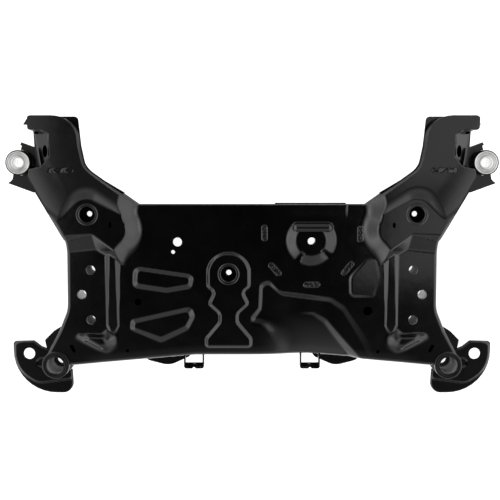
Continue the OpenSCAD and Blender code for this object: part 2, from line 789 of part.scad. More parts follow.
module left_bush_washers() {
    rubber_len = eye_len - 2 * washer_inset - 2 * washer_t;
    color(bright)
        for (z = [bush_mid_z - rubber_len / 2 - washer_t, bush_mid_z + rubber_len / 2])
            translate([-bush_x, bush_y, z])
                difference() {
                    cylinder(d = bush_rubber_d, h = washer_t, $fn = round_fn);
                    translate([0, 0, -eps])
                        cylinder(d = bush_core_d, h = washer_t + 2 * eps, $fn = round_fn);
                }
}

module right_bush_washers() {
    right_side()
        left_bush_washers();
}

module left_bush_inner_sleeve() {
    color(bright)
        translate([-bush_x, bush_y, 0])
            tube(bush_core_d, bush_bore_d, eye_len + 2 * core_proud);
}

module right_bush_inner_sleeve() {
    right_side()
        left_bush_inner_sleeve();
}

// Rear sleeve: turned tube with a collar on the panel and a floor with the bolt hole
sleeve_floor = 5;
sleeve_chamfer = 1.5;
collar_t = 4;
collar_groove = 1;

module left_rear_sleeve() {
    r_hole = rear_hole_d / 2;
    r_bore = rear_bore_d / 2;
    r_tube = rear_tube_d / 2;
    r_collar = rear_collar_d / 2;
    top = deck_z + collar_t;
    color(steel)
        translate([-rear_x, 0, 0])
            rotate_extrude($fn = round_fn)
                polygon([[r_hole, 0], [r_tube, 0], [r_tube, deck_z], [r_collar, deck_z],
                    [r_collar, top - 1], [r_collar - 1, top], [r_tube + collar_groove, top],
                    [r_tube + collar_groove, deck_z + 1.5], [r_tube, deck_z + 1.5], [r_tube, top + 1],
                    [r_bore + sleeve_chamfer, top + 1], [r_bore, top + 1 - sleeve_chamfer],
                    [r_bore, sleeve_floor], [r_hole, sleeve_floor]]);
}

module right_rear_sleeve() {
    right_side()
        left_rear_sleeve();
}

// Rear ear: plate with a rim, fitted round the lobe of the rail
ear_hole_out = 61;
ear_hole_y = 17;
ear_hole_at = [-rear_x - ear_hole_out, ear_hole_y];
ear_shape = [
    [-95, 41, 5], [-95, -66, 88], [28, -66, 20], [25, -18, 5],
    [0, 6, 2], [-18, 22, 3], [-38, 30, 5], [-53, 42, 5]];
ear_line = placed(ear_shape, -rear_x, 0);

module left_rear_ear() {
    color(steel)
        difference() {
            translate([0, 0, ear_z - ear_rim])
                linear_extrude(ear_rim)
                    polygon(ring(ear_line, 2 * fine_steps));
            translate([0, 0, ear_z - ear_rim - bracket_t])
                linear_extrude(ear_rim)
                    polygon(ring(moved(ear_line, -bracket_t), 2 * fine_steps));
            translate([ear_hole_at.x, ear_hole_at.y, 0])
                cylinder(d = ear_hole_d, h = deck_z, $fn = round_fn);
            translate([0, 0, -eps])
                linear_extrude(deck_z)
                    polygon(ring(moved(deck_line, lap_gap)));
        }
}

module right_rear_ear() {
    right_side()
        left_rear_ear();
}

// Rear gusset: small angle between the rail wall and the ear
gusset_z = 62;
// Its corners as distance outside the rail wall, distance from the rear bolt line and radius
gusset_shape = [[-1, 78, 1], [12, 66, 4], [20, 48, 4], [2, 24, 3], [-11, 30, 1]];
function rail_wall(y) =
    let (a = deck_half[3], b = deck_half[4])
    a.x + (b.x - a.x) * (a.y - y) / (a.y - b.y);
gusset_line = [for (c = gusset_shape) [rail_wall(c.y) - c.x, c.y, c.z]];

module left_rear_gusset() {
    color(steel)
        difference() {
            translate([0, 0, ear_z])
                linear_extrude(gusset_z - ear_z)
                    polygon(ring(gusset_line, fine_steps));
            translate([0, 0, ear_z - bracket_t])
                linear_extrude(gusset_z - ear_z)
                    polygon(ring(moved(gusset_line, -bracket_t), fine_steps));
            translate([0, 0, -eps])
                linear_extrude(deck_z)
                    polygon(ring(moved(deck_line, lap_gap)));
        }
}

module right_rear_gusset() {
    right_side()
        left_rear_gusset();
}

// Arm bolt tubes between the two panels
module arm_tube(x, y) {
    color(steel)
        translate([x, y, lower_t])
            difference() {
                cylinder(d = arm_tube_d, h = deck_z - upper_t - lower_t, $fn = round_fn);
                translate([0, 0, -eps])
                    cylinder(d = arm_hole_d, h = deck_z, $fn = round_fn);
            }
}

module left_front_arm_tube() {
    arm_tube(-arm_x, arm_front_y);
}

module right_front_arm_tube() {
    arm_tube(arm_x, arm_front_y);
}

module left_middle_arm_tube() {
    arm_tube(-arm_mid_x, arm_mid_y);
}

module right_middle_arm_tube() {
    arm_tube(arm_mid_x, arm_mid_y);
}

module left_rear_arm_tube() {
    arm_tube(-arm_x, arm_rear_y);
}

module right_rear_arm_tube() {
    arm_tube(arm_x, arm_rear_y);
}

// Turned collar hung in the panel by its flange
collar_wall = 2.5;
collar_body_d = collar_bore_d + 2 * collar_wall;
collar_flange = 2.5;
collar_floor = 6;

module collar(seat_z) {
    r_hole = collar_hole_d / 2;
    r_bore = collar_bore_d / 2;
    r_body = collar_body_d / 2;
    r_flange = collar_d / 2;
    color(steel)
        translate([0, 0, seat_z])
            rotate_extrude($fn = round_fn)
                polygon([[r_hole, -collar_depth], [r_body, -collar_depth], [r_body, 0], [r_flange, 0],
                    [r_flange, 1], [r_flange - 2, collar_flange], [r_bore + 2, collar_flange],
                    [r_bore, collar_flange - 2], [r_bore, collar_floor - collar_depth],
                    [r_hole, collar_floor - collar_depth]]);
}

module left_gear_collar() {
    translate([-gear_x, gear_y, 0])
        collar(deck_z + plateau_rise);
}

module right_gear_collar() {
    translate([gear_x, gear_y, 0])
        collar(deck_z + plateau_rise);
}

module centre_collar() {
    translate([collar_at.x, collar_at.y, 0])
        collar(deck_z + keyhole_rise);
}

// Weld nut under the top of the dome
nut_d = 36;
nut_h = 16;

module dome_nut() {
    color(bright)
        translate([dome_at.x, dome_at.y, deck_z + dome_rise - upper_t - nut_h])
            difference() {
                cylinder(d = nut_d, h = nut_h, $fn = round_fn);
                translate([0, 0, -eps])
                    cylinder(d = dome_hole_d, h = nut_h + 2 * eps, $fn = round_fn);
            }
}

// Reinforcing plate under the deck, held by the slot welds
plate_t = 4;
// Hole of the plate around the dome
dome_room_d = 70;
reinforcing_line = [
    [6, 294, 12], [6, 250, 20], [24, 187, 16], [64, 156, 16], [172, 151, 16],
    [212, 178, 16], [236, 240, 20], [236, 294, 12]];

module reinforcing_plate() {
    color(steel)
        translate([0, 0, deck_z - upper_t - plate_t])
            difference() {
                linear_extrude(plate_t)
                    polygon(ring(reinforcing_line, fine_steps));
                translate([dome_at.x, dome_at.y, -eps])
                    cylinder(d = dome_room_d, h = plate_t + 2 * eps, $fn = round_fn);
            }
}

// Slot welds that fill the five slots of the deck
module slot_welds() {
    color(weld_colour)
        for (w = weld_slots)
            translate([0, 0, deck_z - upper_t])
                linear_extrude(upper_t + weld_proud)
                    bar_2d(slot_ends(w)[0], slot_ends(w)[1], slot_w - 2 * lap_gap);
}

// Weld run across each horn behind the hook
horn_weld_len = 42;
horn_weld_back = 5;
horn_weld_y = notch_y - horn_weld_back;
horn_weld_at = [[-notch_edge, horn_weld_y], [-notch_edge + horn_weld_len, horn_weld_y]];
horn_weld_d = 13;

module left_horn_weld() {
    top = horn_z + horn_slope * (horn_weld_at[0].y - horn_root_y) + weld_proud;
    color(weld_colour)
        translate([0, 0, top - weld_proud - upper_t])
            linear_extrude(upper_t + weld_proud)
                bar_2d(horn_weld_at[0], horn_weld_at[1], horn_weld_d - 2 * lap_gap);
}

module right_horn_weld() {
    right_side()
        left_horn_weld();
}

// Rear strap: bent strip with a floor behind and a pressed boss in its middle
strap_z = 24;
strap_h = 22;
strap_x = 119;
strap_half = 20.5;
strap_rear = -14;
strap_reach = 54;
strap_floor = 9;
strap_boss_r = 8;
strap_boss_bore_r = 3;
strap_bend = 5;
strap_line = [[-strap_half, strap_rear + strap_reach, 1], [-strap_half, strap_rear, strap_bend],
    [strap_half, strap_rear, strap_bend], [strap_half, strap_rear + strap_reach, 1]];

module strap_wall_2d() {
    difference() {
        polygon(ring(strap_line, fine_steps));
        polygon(ring(moved(strap_line, -bracket_t), fine_steps));
    }
}

module strap_boss_2d() {
    translate([0, strap_rear])
        intersection() {
            circle(r = strap_boss_r, $fn = 32);
            translate([-strap_boss_r, 0])
                square(2 * strap_boss_r);
        }
}

module strap_floor_2d() {
    intersection() {
        polygon(ring(strap_line, fine_steps));
        translate([-strap_half, strap_rear])
            square([2 * strap_half, strap_floor]);
    }
}

module rear_strap(x) {
    color(steel)
        difference() {
            translate([x, 0, strap_z])
                difference() {
                    union() {
                        linear_extrude(strap_h)
                            strap_wall_2d();
                        linear_extrude(bracket_t)
                            strap_floor_2d();
                        linear_extrude(strap_h / 2)
                            strap_boss_2d();
                    }
                    translate([0, strap_rear, -eps])
                        cylinder(r = strap_boss_bore_r, h = strap_h + 2 * eps, $fn = 32);
                }
            translate([0, 0, -eps])
                linear_extrude(deck_z)
                    polygon(ring(deck_line));
        }
}

module left_rear_strap() {
    rear_strap(-strap_x);
}

module right_rear_strap() {
    rear_strap(strap_x);
}

upper_panel();
lower_panel();
left_horn_plate();
right_horn_plate();
left_bush_bracket();
right_bush_bracket();
left_bush_eye();
right_bush_eye();
left_bush_outer_sleeve();
right_bush_outer_sleeve();
left_bush_rubber();
right_bush_rubber();
left_bush_washers();
right_bush_washers();
left_bush_inner_sleeve();
right_bush_inner_sleeve();
left_rear_sleeve();
right_rear_sleeve();
left_rear_ear();
right_rear_ear();
left_rear_gusset();
right_rear_gusset();
left_front_arm_tube();
right_front_arm_tube();
left_middle_arm_tube();
right_middle_arm_tube();
left_rear_arm_tube();
right_rear_arm_tube();
left_gear_collar();
right_gear_collar();
centre_collar();
dome_nut();
reinforcing_plate();
slot_welds();
left_horn_weld();
right_horn_weld();
left_rear_strap();
right_rear_strap();
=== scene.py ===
"""Looks of the front subframe: pressed sheets, welds, turned bushes, coating, studio and camera.

Lengths are millimetres in the part's own frame until a mesh is made; meshes are in metres.
The sides are alike, so outlines that both sides share are given for the left one, where x is negative.
"""
import math

import bmesh
import bpy
import numpy as np
from mathutils import Matrix, Vector


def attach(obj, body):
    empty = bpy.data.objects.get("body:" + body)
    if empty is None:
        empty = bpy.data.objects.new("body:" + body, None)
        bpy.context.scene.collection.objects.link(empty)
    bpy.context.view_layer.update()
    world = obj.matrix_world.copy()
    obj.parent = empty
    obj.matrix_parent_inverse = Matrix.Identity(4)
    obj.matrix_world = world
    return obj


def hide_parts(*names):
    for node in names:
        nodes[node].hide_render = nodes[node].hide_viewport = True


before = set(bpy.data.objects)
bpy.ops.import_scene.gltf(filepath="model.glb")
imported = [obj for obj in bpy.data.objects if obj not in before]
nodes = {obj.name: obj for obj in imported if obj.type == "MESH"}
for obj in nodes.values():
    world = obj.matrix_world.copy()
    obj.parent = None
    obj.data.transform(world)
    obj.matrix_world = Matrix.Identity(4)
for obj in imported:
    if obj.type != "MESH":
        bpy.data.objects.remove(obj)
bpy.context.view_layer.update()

MM = 0.001
FAR_OFF = 1000.0
SIDES = ((-1, "left"), (1, "right"))

# Sizes that the part's source has too
SHEET = 2.5
DECK_Z = 80.0
DECK_FRONT, DECK_REAR = 323.0, 19.5
RIDGE_RISE, RIDGE_LOW = 6.5, 2.5
RIDGE_FRONT, RIDGE_REAR = 240.0, 80.0
BEAD_RISE = 5.0
KEYHOLE_RISE, KEYHOLE_RUN = 5.0, 7.0
DROP_RUN = 7.0
DOME_RISE = 10.0
PAN_DEPTH = 7.0
PLATEAU_RISE = 22.0
HORN_RISE, HORN_CLIMB = 30.0, 20.0
HORN_ROOT_Y, HORN_FRONT = 330.0, 498.0
HORN_Z = DECK_Z + HORN_RISE
HORN_SLOPE = HORN_CLIMB / (HORN_FRONT - HORN_ROOT_Y)
HORN_PLATE_Z = 84.0
NOTCH_EDGE, NOTCH_STEP, NOTCH_FALL = 396.0, 3.0, 0.7
SKIRT_Z = 12.0
TRAY_H = 30.0
BUSH_X, BUSH_Y, BUSH_Z = 458.0, 407.0, 92.0
RAMP_START, RAMP_END = DECK_FRONT + 3.0, BUSH_Y - 2.0
REAR_X = 396.0
GEAR_X, GEAR_Y = 326.0, 305.0
COLLAR_AT = (-47.0, 185.0)
DOME_AT = (118.0, 252.0)
EAR_Z, EAR_RIM, EAR_SHEET = 44.0, 15.0, 3.0
SLOT_LENGTH, SLOT_WIDTH = 34.0, 12.0

# Holes of the upper panel
ARM_HOLES, ARM_HOLE_R = [(-324.0, 192.5), (-342.0, 143.0), (-324.0, 91.5)], 9.5
REAR_HOLE_R, COLLAR_HOLE_R, DOME_HOLE_R = 19.3, 17.8, 9.0
# place, half width and half length of the oval in the notch's flange
FLANGE_HOLE = (-404.5, 429.0, 5.5, 12.0)
# both ends and width
side_slots = [((-364, 38), (-359, 29), 7), ((-281, 281), (-281, 286), 6)]
# place and diameter
deck_holes = [
    (-149, 249, 18), (-158, 229, 8), (-229, 128, 14), (233, 110, 18),
    (-251, 29, 7), (254, 27, 7), (-91, 264, 3), (-218, 269, 4), (-10, 281, 4)]
# place and angle of the pressed slots that the slot welds fill
weld_slots = [(25, 267, 92), (217, 265, 88), (46, 194, -47), (192, 196, 51), (120, 163, 0)]

# Forms of the upper panel that follow the photo. A pair of places is where a change starts and ends,
# a share is how much of a wall is rounded at its foot and at its top.
PRESS_SHARE, LONG_SHARE, BROAD_SHARE = 0.24, 0.4, 0.45
PRESS_ROUND = 3.0
EDGE_DROP, EDGE_ROUND, EDGE_Y = 10.0, 7.0, (285.0, 310.0)
REAR_FALL, REAR_RUN, REAR_FALL_Y, REAR_FALL_X = 1.6, 22.0, (60.0, 40.0), (-345.0, -305.0)
FRONT_STEP, FRONT_STEP_Y = 0.9, (294.0, 320.0)
FRONT_STEP_LEFT, FRONT_STEP_RIGHT = (46.0, 86.0), (191.0, 188.0)
PAD_RISE, PAD_BLUR_R = 11.0, 3.2
PAD_BLUR = PAD_BLUR_R * np.array([
    (0, 0), (1, 0), (-1, 0), (0, 1), (0, -1), (.7, .7), (-.7, .7), (.7, -.7), (-.7, -.7)])
DROP_RISE, DROP_X = 2.8, (262.0, 194.0)
SLOT_DEPTH, SLOT_WALL = 1.5, 3.0
# walls in front of this line end on the horn plate
WALL_START = 350.0
# broad fall of the horn's top toward its outer side: a point of that side and the way in from it
ARCH_AT, ARCH_LEAN, ARCH_WIDTH, ARCH_DROP = (-373.0, 252.0), (0.887, 0.461), 56.0, 6.5
HORN_EDGE, HORN_EDGE_FALL = 1.0, 3.0
HOOK_REAR, LEFT_HOOK_END, HOOK_ROUND = 466.0, -435.5, 7.0
HOOK_WALL, NOTCH_WALL = 40.0, 6.0
DISH_SLOPE, DISH_DEPTH, DISH_ROUND = 0.6, 3.0, 3.5
dish_spots = [[-326, 305, 31], [-262, 296, 9], [-403, 258, 10], [-372, 220, 10], [-262, 240, 10]]
CREASE, HORN_BLEND, BLEND_WALL = 0.01, 1.6, (36.0, 44.0)
# rear wall of the plateau: foot and top of its outer and its inner plane, as y = a + b (x - WALL_AT)
WALL_AT, WALL_CREASE, WALL_SHARE, PLATEAU_END = -312.0, 0.07, 0.16, -200.0
wall_planes = [((231.0, 0.114), (269.2, 0.044)), ((231.0, -0.567), (264.4, -0.762))]
# foot of the wall that faces the middle, from the front edge down along the ridge
inner_foot = [
    [-205, 345], [-227, 315], [-217, 292], [-214, 266], [-224, 238], [-250, 212],
    [-257, 182], [-262, -200], [-800, -200], [-800, 900], [-205, 900]]
INNER_SLOPE, INNER_FILLET = 0.9, 19.0
DOME_OUT, DOME_IN = 52.0, 28.0
# dents in the dome's wall: their bearings and sizes in degrees, and how far they reach in
DOME_DENTS, DENT_HALF, DENT_RAMP, DENT_REACH = (236.0, 321.0), 8.5, 3.5, 21.0
BAR_FRONT, BAR_CUT = 288.0, 3.0
bar_ends = ((90, 278.0), (152, 278.0))
BAR_HALF, BAR_WALL, BAR_SHARE = 10.0, 2.6, 0.04
ROOF_RISE, ROOF_HALF, ROOF_RUN, ROOF_SHARE = 4.0, 9.0, 7.6, 0.2
# the pan runs out to the left and to the rear, and a strip of its floor rises to the right
PAN_LEFT_RUN, PAN_RIGHT_RUN, PAN_RUN_X = 22.0, 72.0, (8.0, 68.0)
PAN_END_Y, PAN_END_X = 101.0, (110.0, 5.0)
PAN_LESS, PAN_LESS_X = 3.2, (120.0, 10.0)
STRIP_RISE, STRIP_X, STRIP_LESS, STRIP_LESS_X = 4.5, (88.0, 172.0), 0.7, (190.0, 240.0)
FALL_TOP, FALL_RUN, FALL_DEPTH, FALL_MOST, FALL_X = 104.0, 84.5, 12.0, 1.2, (-5.0, 125.0)

# Outlines as corners [x, y, radius]
deck_half = [
    [-411.6, DECK_FRONT, 1], [-372, 252, 40], [-372, 112, 60], [-388, 72, 30], [-421.5, 10, 12],
    [-421.5, -25.5, 21], [-370.5, -25.5, 21], [-369.5, -2.5, 2], [-115, DECK_REAR, 60]]
deck_full = deck_half + [[-x, y, r] for x, y, r in reversed(deck_half)]
OUTLINE = {
    "deck": deck_full,
    "horn_foot": [
        [-229, 321, 4], [-298, 370, 40], [-331, 396, 40], [-340, 440, 30], [-343, HORN_FRONT, 46],
        [-441, HORN_FRONT, 7], [-441, 470, 7], [-429, 469, 3], [-427, 432, 30], [-419, 399, 3],
        [-437, 395, 5], [-441, 374, 20], [-426, 347, 20], [-373, 252, 12], [-330, 262, 3], [-248, 286, 10]],
    "notch": [
        [-396, 462, 4], [-410, 469.5, 12], [-449, 469.5, 2], [-449, 398, 2], [-413, 401, 10], [-396, 419, 6]],
    "slit": [[-427, 468.5, 1], [-427, 463, 1], [-412, 462, 6], [-401, 463, 1], [-412, 468, 6]],
    "ridge_top": [[-283.5, 240, 1], [-289, 84, 8], [-281, 66, 4], [-270, 80, 8], [-276.5, 240, 1]],
    "ridge_foot": [[-295, 240, 1], [-293.5, 80, 6], [-282, 42, 8], [-267, 78, 10], [-261, 240, 1]],
    "pad_foot": [
        [-270, 62, 12], [-291, 76, 3], [-303, 61, 14], [-350, 66, 10],
        [-360, 54, 6], [-312, 31, 20], [-290, 22, 16], [-268, 38, 16]],
    "pad_top": [
        [-298.5, 50, 2], [-301, 56, 2], [-306, 58, 3], [-328, 58.5, 1.5],
        [-330, 57, 1.5], [-312, 46, 6], [-303, 41, 3], [-298.5, 44, 3]],
    "bead_one_foot": [[-238, 202, 14], [-241, 156, 12], [-171, 146, 20], [-120, 155, 10], [-114, 184, 12]],
    "bead_one_top": [[-228, 191, 7], [-230, 167, 7], [-171, 158, 15], [-130, 165, 5], [-125, 176, 6]],
    "bead_two_foot": [
        [-244, 94, 10], [-247, 72, 8], [-183, 44, 14], [-127, 71, 14], [-113, 98, 12], [-119, 122, 12]],
    "bead_two_top": [
        [-234, 84, 2], [-235, 77, 3], [-183, 59, 10], [-135, 81, 8], [-126, 98, 7], [-130, 107, 7]],
    "keyhole_foot": [
        [-92, 230, 44], [-92, 158, 15], [-78, 148, 8], [-90, 124, 10], [-68, 104, 10], [-68, 88, 10],
        [-95, 56, 14], [-95, 34, 9], [1, 34, 9], [1, 56, 14], [-26, 88, 10], [-26, 104, 10],
        [-4, 124, 10], [-16, 148, 8], [-2, 158, 15], [-2, 230, 44]],
    "drop_foot": [
        [227, 217, 9], [193, 180, 24], [194, 137, 14], [247, 136, 8], [259, 176, 22], [252, 216, 9]],
    "pan_edge": [
        [-4, 99, 5], [-12, -20, 1], [262, -20, 1], [236, 50, 8], [188, 120, 22],
        [160, 138, 24], [54, 151, 12], [34, 174, 11], [14, 166, 12], [13, 118, 6]],
    "pan_floor": [
        [9, 95, 4], [4, -20, 1], [254, -20, 1], [218, 48, 6], [181, 109, 18],
        [156, 127, 20], [60, 140, 18], [32, 163, 7], [22, 155, 7], [20, 112, 6]],
    "fall_edge": [[-60, 108, 6], [-60, -20, 1], [250, -20, 1], [206, 31, 4], [150, 95, 30], [124, 108, 8]],
    "fall_floor": [[-50, 101, 4], [-50, -20, 1], [226, -20, 1], [187, 24, 3], [142, 85, 30], [120, 101, 6]],
    "ear": [
        [-491, 41, 5], [-491, -66, 88], [-368, -66, 20], [-371, -18, 5],
        [-396, 6, 2], [-414, 22, 3], [-434, 30, 5], [-449, 42, 5]],
    "ear_raised": [
        [-484, 36, 6], [-484, -14, 60], [-440, -42, 30], [-372, -33, 10], [-366, -10, 4],
        [-396, 10, 4], [-414, 26, 3], [-434, 34, 5], [-449, 46, 5]]}

# Forms of the ears
EAR_GAP = 0.3
EAR_HOLE, EAR_HOLE_R = (-457.0, 17.0), 11.75
EAR_STEP, EAR_STEP_RUN, EAR_STEP_SHARE = 5.0, 6.0, 0.35
EAR_DENT_AT, EAR_DENT_HALF, EAR_DENT, EAR_DENT_WALL = (-431.0, -2.0), (15.0, 12.0), 2.5, 0.45
EAR_ROUND = 2.5


# Outlines and distances
def ring(corners, n=10):
    """Points of a closed outline given as corners [x, y, radius]."""
    pts = []
    m = len(corners)
    for i in range(m):
        a, b, c = (np.array(corners[(i + k) % m][:2], float) for k in (-1, 0, 1))
        r = corners[i][2]
        u = (a - b) / np.linalg.norm(a - b)
        v = (c - b) / np.linalg.norm(c - b)
        half = math.acos(max(-1.0, min(1.0, float(u @ v)))) / 2
        if r <= 0 or abs(half - math.pi / 2) < 1e-4:
            pts.append(b)
            continue
        w = (u + v) / np.linalg.norm(u + v)
        centre = b + w * r / math.sin(half)
        p = b + u * r / math.tan(half) - centre
        start = math.atan2(p[1], p[0])
        turn = 1.0 if u[0] * v[1] - u[1] * v[0] < 0 else -1.0
        sweep = turn * (math.pi - 2 * half)
        for k in range(n + 1):
            t = start + sweep * k / n
            pts.append(centre + r * np.array([math.cos(t), math.sin(t)]))
    return np.array(pts)


def eased(corners, rounds=4):
    """Closed outline that runs smoothly along its corner points."""
    pts = np.array(corners, float)
    for _ in range(rounds):
        after = np.roll(pts, -1, axis=0)
        pts = np.stack([0.75 * pts + 0.25 * after, 0.25 * pts + 0.75 * after], axis=1).reshape(-1, 2)
    return pts


def moved(corners, d, least=0.6):
    """The corner list moved outwards by d; rounded corners keep their centre down to the least radius."""
    out = []
    m = len(corners)
    for i in range(m):
        a, b, c = (np.array(corners[(i + k) % m][:2], float) for k in (-1, 0, 1))
        e = (b - a) / np.linalg.norm(b - a)
        f = (c - b) / np.linalg.norm(c - b)
        n1, n2 = np.array([e[1], -e[0]]), np.array([f[1], -f[0]])
        p = b + d * (n1 + n2) / (1 + n1 @ n2)
        r = corners[i][2] + (d if e[0] * f[1] - e[1] * f[0] > 0 else -d)
        out.append([p[0], p[1], max(r, least)])
    return out


def hull_of(spots, n=48):
    """Convex outline round a set of circles [x, y, r]."""
    turns = [k * 2 * math.pi / n for k in range(n)]
    pts = sorted((x + r * math.cos(t), y + r * math.sin(t)) for x, y, r in spots for t in turns)

    def half(seq):
        chain = []
        for p in seq:
            while len(chain) > 1 and ((chain[-1][0] - chain[-2][0]) * (p[1] - chain[-2][1])
                                      - (chain[-1][1] - chain[-2][1]) * (p[0] - chain[-2][0])) <= 0:
                chain.pop()
            chain.append(p)
        return chain[:-1]
    return np.array(half(pts) + half(pts[::-1]))


LINE = {name: ring(corners) for name, corners in OUTLINE.items()}
LINE["keyhole_top"] = ring(moved(OUTLINE["keyhole_foot"], -KEYHOLE_RUN))
LINE["drop_top"] = ring(moved(OUTLINE["drop_foot"], -DROP_RUN))
LINE["beside_ear"] = ring(moved(deck_full, EAR_GAP))
LINE["inner"] = eased(inner_foot)
LINE["dish"] = hull_of(dish_spots)


def to_line(points, line, closed=True):
    """Distance from each point to a polyline."""
    best = np.full(len(points), np.inf)
    count = len(line) if closed else len(line) - 1
    for i in range(count):
        a, b = line[i], line[(i + 1) % len(line)]
        ab = b - a
        den = float(ab @ ab)
        if den < 1e-12:
            continue
        ap = points - a
        t = np.clip((ap @ ab) / den, 0, 1)
        d = ap - t[:, None] * ab
        best = np.minimum(best, np.einsum("ij,ij->i", d, d))
    return np.sqrt(best)


def within(points, line):
    """Even-odd test of each point against a closed outline."""
    x, y = points[:, 0], points[:, 1]
    odd = np.zeros(len(points), bool)
    for i in range(len(line)):
        (x0, y0), (x1, y1) = line[i], line[(i + 1) % len(line)]
        if y0 == y1:
            continue
        hit = (y0 > y) != (y1 > y)
        odd ^= hit & (x < (x1 - x0) * (y - y0) / (y1 - y0) + x0)
    return odd


def signed(points, line):
    """Signed distance to a closed outline, negative inside."""
    d = to_line(points, line)
    return np.where(within(points, line), -d, d)


def capsule(points, a, b):
    """Distance to the straight line from a to b."""
    return to_line(points, np.array([a, b], float), closed=False)


def disc(points, x, y, r):
    """Depth of each point inside a circle."""
    return r - np.hypot(points[:, 0] - x, points[:, 1] - y)


def fade(values, start, end):
    """0 up to start, 1 past end, straight between them; end may lie below start."""
    return np.clip((values - start) / (end - start), 0, 1)


def soft_step(t, share=PRESS_SHARE):
    """Straight ramp from 0 to 1 with a rounded start and end."""
    t = np.clip(t, 0, 1)
    a = t * t / (2 * share * (1 - share))
    b = (t - share / 2) / (1 - share)
    c = 1 - (1 - t) ** 2 / (2 * share * (1 - share))
    return np.where(t < share, a, np.where(t > 1 - share, c, b))


def slope(points, foot, top):
    """0 outside the foot line, 1 inside the top line, a rounded wall between them."""
    out = np.zeros(len(points))
    in_box = np.all((points > foot.min(0)) & (points < foot.max(0)), axis=1)
    sel = np.nonzero(in_box)[0]
    sel = sel[within(points[sel], foot)]
    if len(sel) == 0:
        return out
    q = points[sel]
    to_foot = to_line(q, foot)
    to_top = np.where(within(q, top), 0.0, to_line(q, top))
    out[sel] = soft_step(to_foot / np.maximum(to_foot + to_top, 1e-9))
    return out


def join(a, b, p=6.0):
    """Both rises together, rounded where they meet."""
    return (np.maximum(a, 0) ** p + np.maximum(b, 0) ** p) ** (1 / p)


def soft_max(a, b, k):
    """The larger of both, rounded where they differ by less than k."""
    h = np.maximum(k - np.abs(a - b), 0) / k
    return np.maximum(a, b) + h * h * k / 4


def soft_min(a, b, k):
    """The smaller of both, rounded where they differ by less than k."""
    return -soft_max(-a, -b, k)


def quarter(t):
    """Fall of a rounded edge: 1 at the wall, 0 where the flat starts."""
    u = np.clip(1 - t, 0, 1)
    return 1 - np.sqrt(np.maximum(1 - u * u, 0))


def folded(points):
    """The points carried to the left half."""
    q = points.copy()
    q[:, 0] = -np.abs(q[:, 0]) - 1e-7
    return q


def slot_ends(x, y, angle):
    """Centres of the round ends of a weld slot."""
    c, s = math.cos(math.radians(angle)), math.sin(math.radians(angle))
    h = (SLOT_LENGTH - SLOT_WIDTH) / 2
    return (x - h * c, y - h * s), (x + h * c, y + h * s)


# Upper panel; q is always the points folded to the left half
def panel_edge(points):
    """Signed distance to the upper panel's outline; the left hook is a little shorter."""
    q = folded(points)
    whole = np.minimum(signed(q, LINE["deck"]), signed(q, LINE["horn_foot"]))
    past_end = np.where(points[:, 1] > HOOK_REAR, LEFT_HOOK_END - points[:, 0], -FAR_OFF)
    return soft_max(whole, past_end, HOOK_ROUND)


def panel_holes(points):
    """Positive inside a hole of the upper panel."""
    q = folded(points)
    hole_x, hole_y, half_x, half_y = FLANGE_HOLE
    oval = np.hypot((q[:, 0] - hole_x) / half_x, (q[:, 1] - hole_y) / half_y)
    depths = [
        (1 - oval) * half_x, -signed(q, LINE["slit"]),
        disc(q, -REAR_X, 0.0, REAR_HOLE_R), disc(q, -GEAR_X, GEAR_Y, COLLAR_HOLE_R),
        disc(points, *COLLAR_AT, COLLAR_HOLE_R), disc(points, *DOME_AT, DOME_HOLE_R)]
    depths += [disc(q, x, y, ARM_HOLE_R) for x, y in ARM_HOLES]
    depths += [width / 2 - capsule(q, a, b) for a, b, width in side_slots]
    depths += [disc(points, x, y, d / 2) for x, y, d in deck_holes]
    return np.maximum.reduce(depths)


def deck_level(q, edge_in):
    """The deck, rounded at its sides, with a little fall to its rear edge."""
    x, y = q[:, 0], q[:, 1]
    z = DECK_Z - EDGE_DROP * (1 - fade(y, *EDGE_Y)) * quarter(edge_in / EDGE_ROUND)
    behind = fade(y, *REAR_FALL_Y) * fade(x, *REAR_FALL_X)
    return z - REAR_FALL * behind * np.clip(1 - edge_in / REAR_RUN, 0, 1) ** 2


def inner_wall(q):
    """Height above the deck of the wall that faces the middle, as if it had no upper end."""
    d = -signed(q, LINE["inner"])
    fillet = np.maximum(d, 0) ** 2 / (2 * INNER_FILLET)
    wall = np.where(d < INNER_FILLET, fillet, d - INNER_FILLET / 2)
    return INNER_SLOPE * np.where(d < 0, d, wall)


def side_rise(q, wall):
    """Plateau, ridge and pad of a side rail."""
    x, y = q[:, 0], q[:, 1]
    along = x - WALL_AT
    up_wall = [(y - f0 - f1 * along) / (t0 - f0 + (t1 - f1) * along)
               for (f0, f1), (t0, t1) in wall_planes]
    rise = soft_step(soft_max(*up_wall, WALL_CREASE), WALL_SHARE) * PLATEAU_RISE * (x < PLATEAU_END)
    taper = RIDGE_LOW + (RIDGE_RISE - RIDGE_LOW) * (y - RIDGE_REAR) / (RIDGE_FRONT - RIDGE_REAR)
    rise = join(rise, slope(q, LINE["ridge_foot"], LINE["ridge_top"]) * taper)
    rise = np.maximum(soft_min(rise, wall, PRESS_ROUND), 0)
    pad = sum(slope(q + o, LINE["pad_foot"], LINE["pad_top"]) for o in PAD_BLUR) / len(PAD_BLUR)
    return join(rise, pad * PAD_RISE)


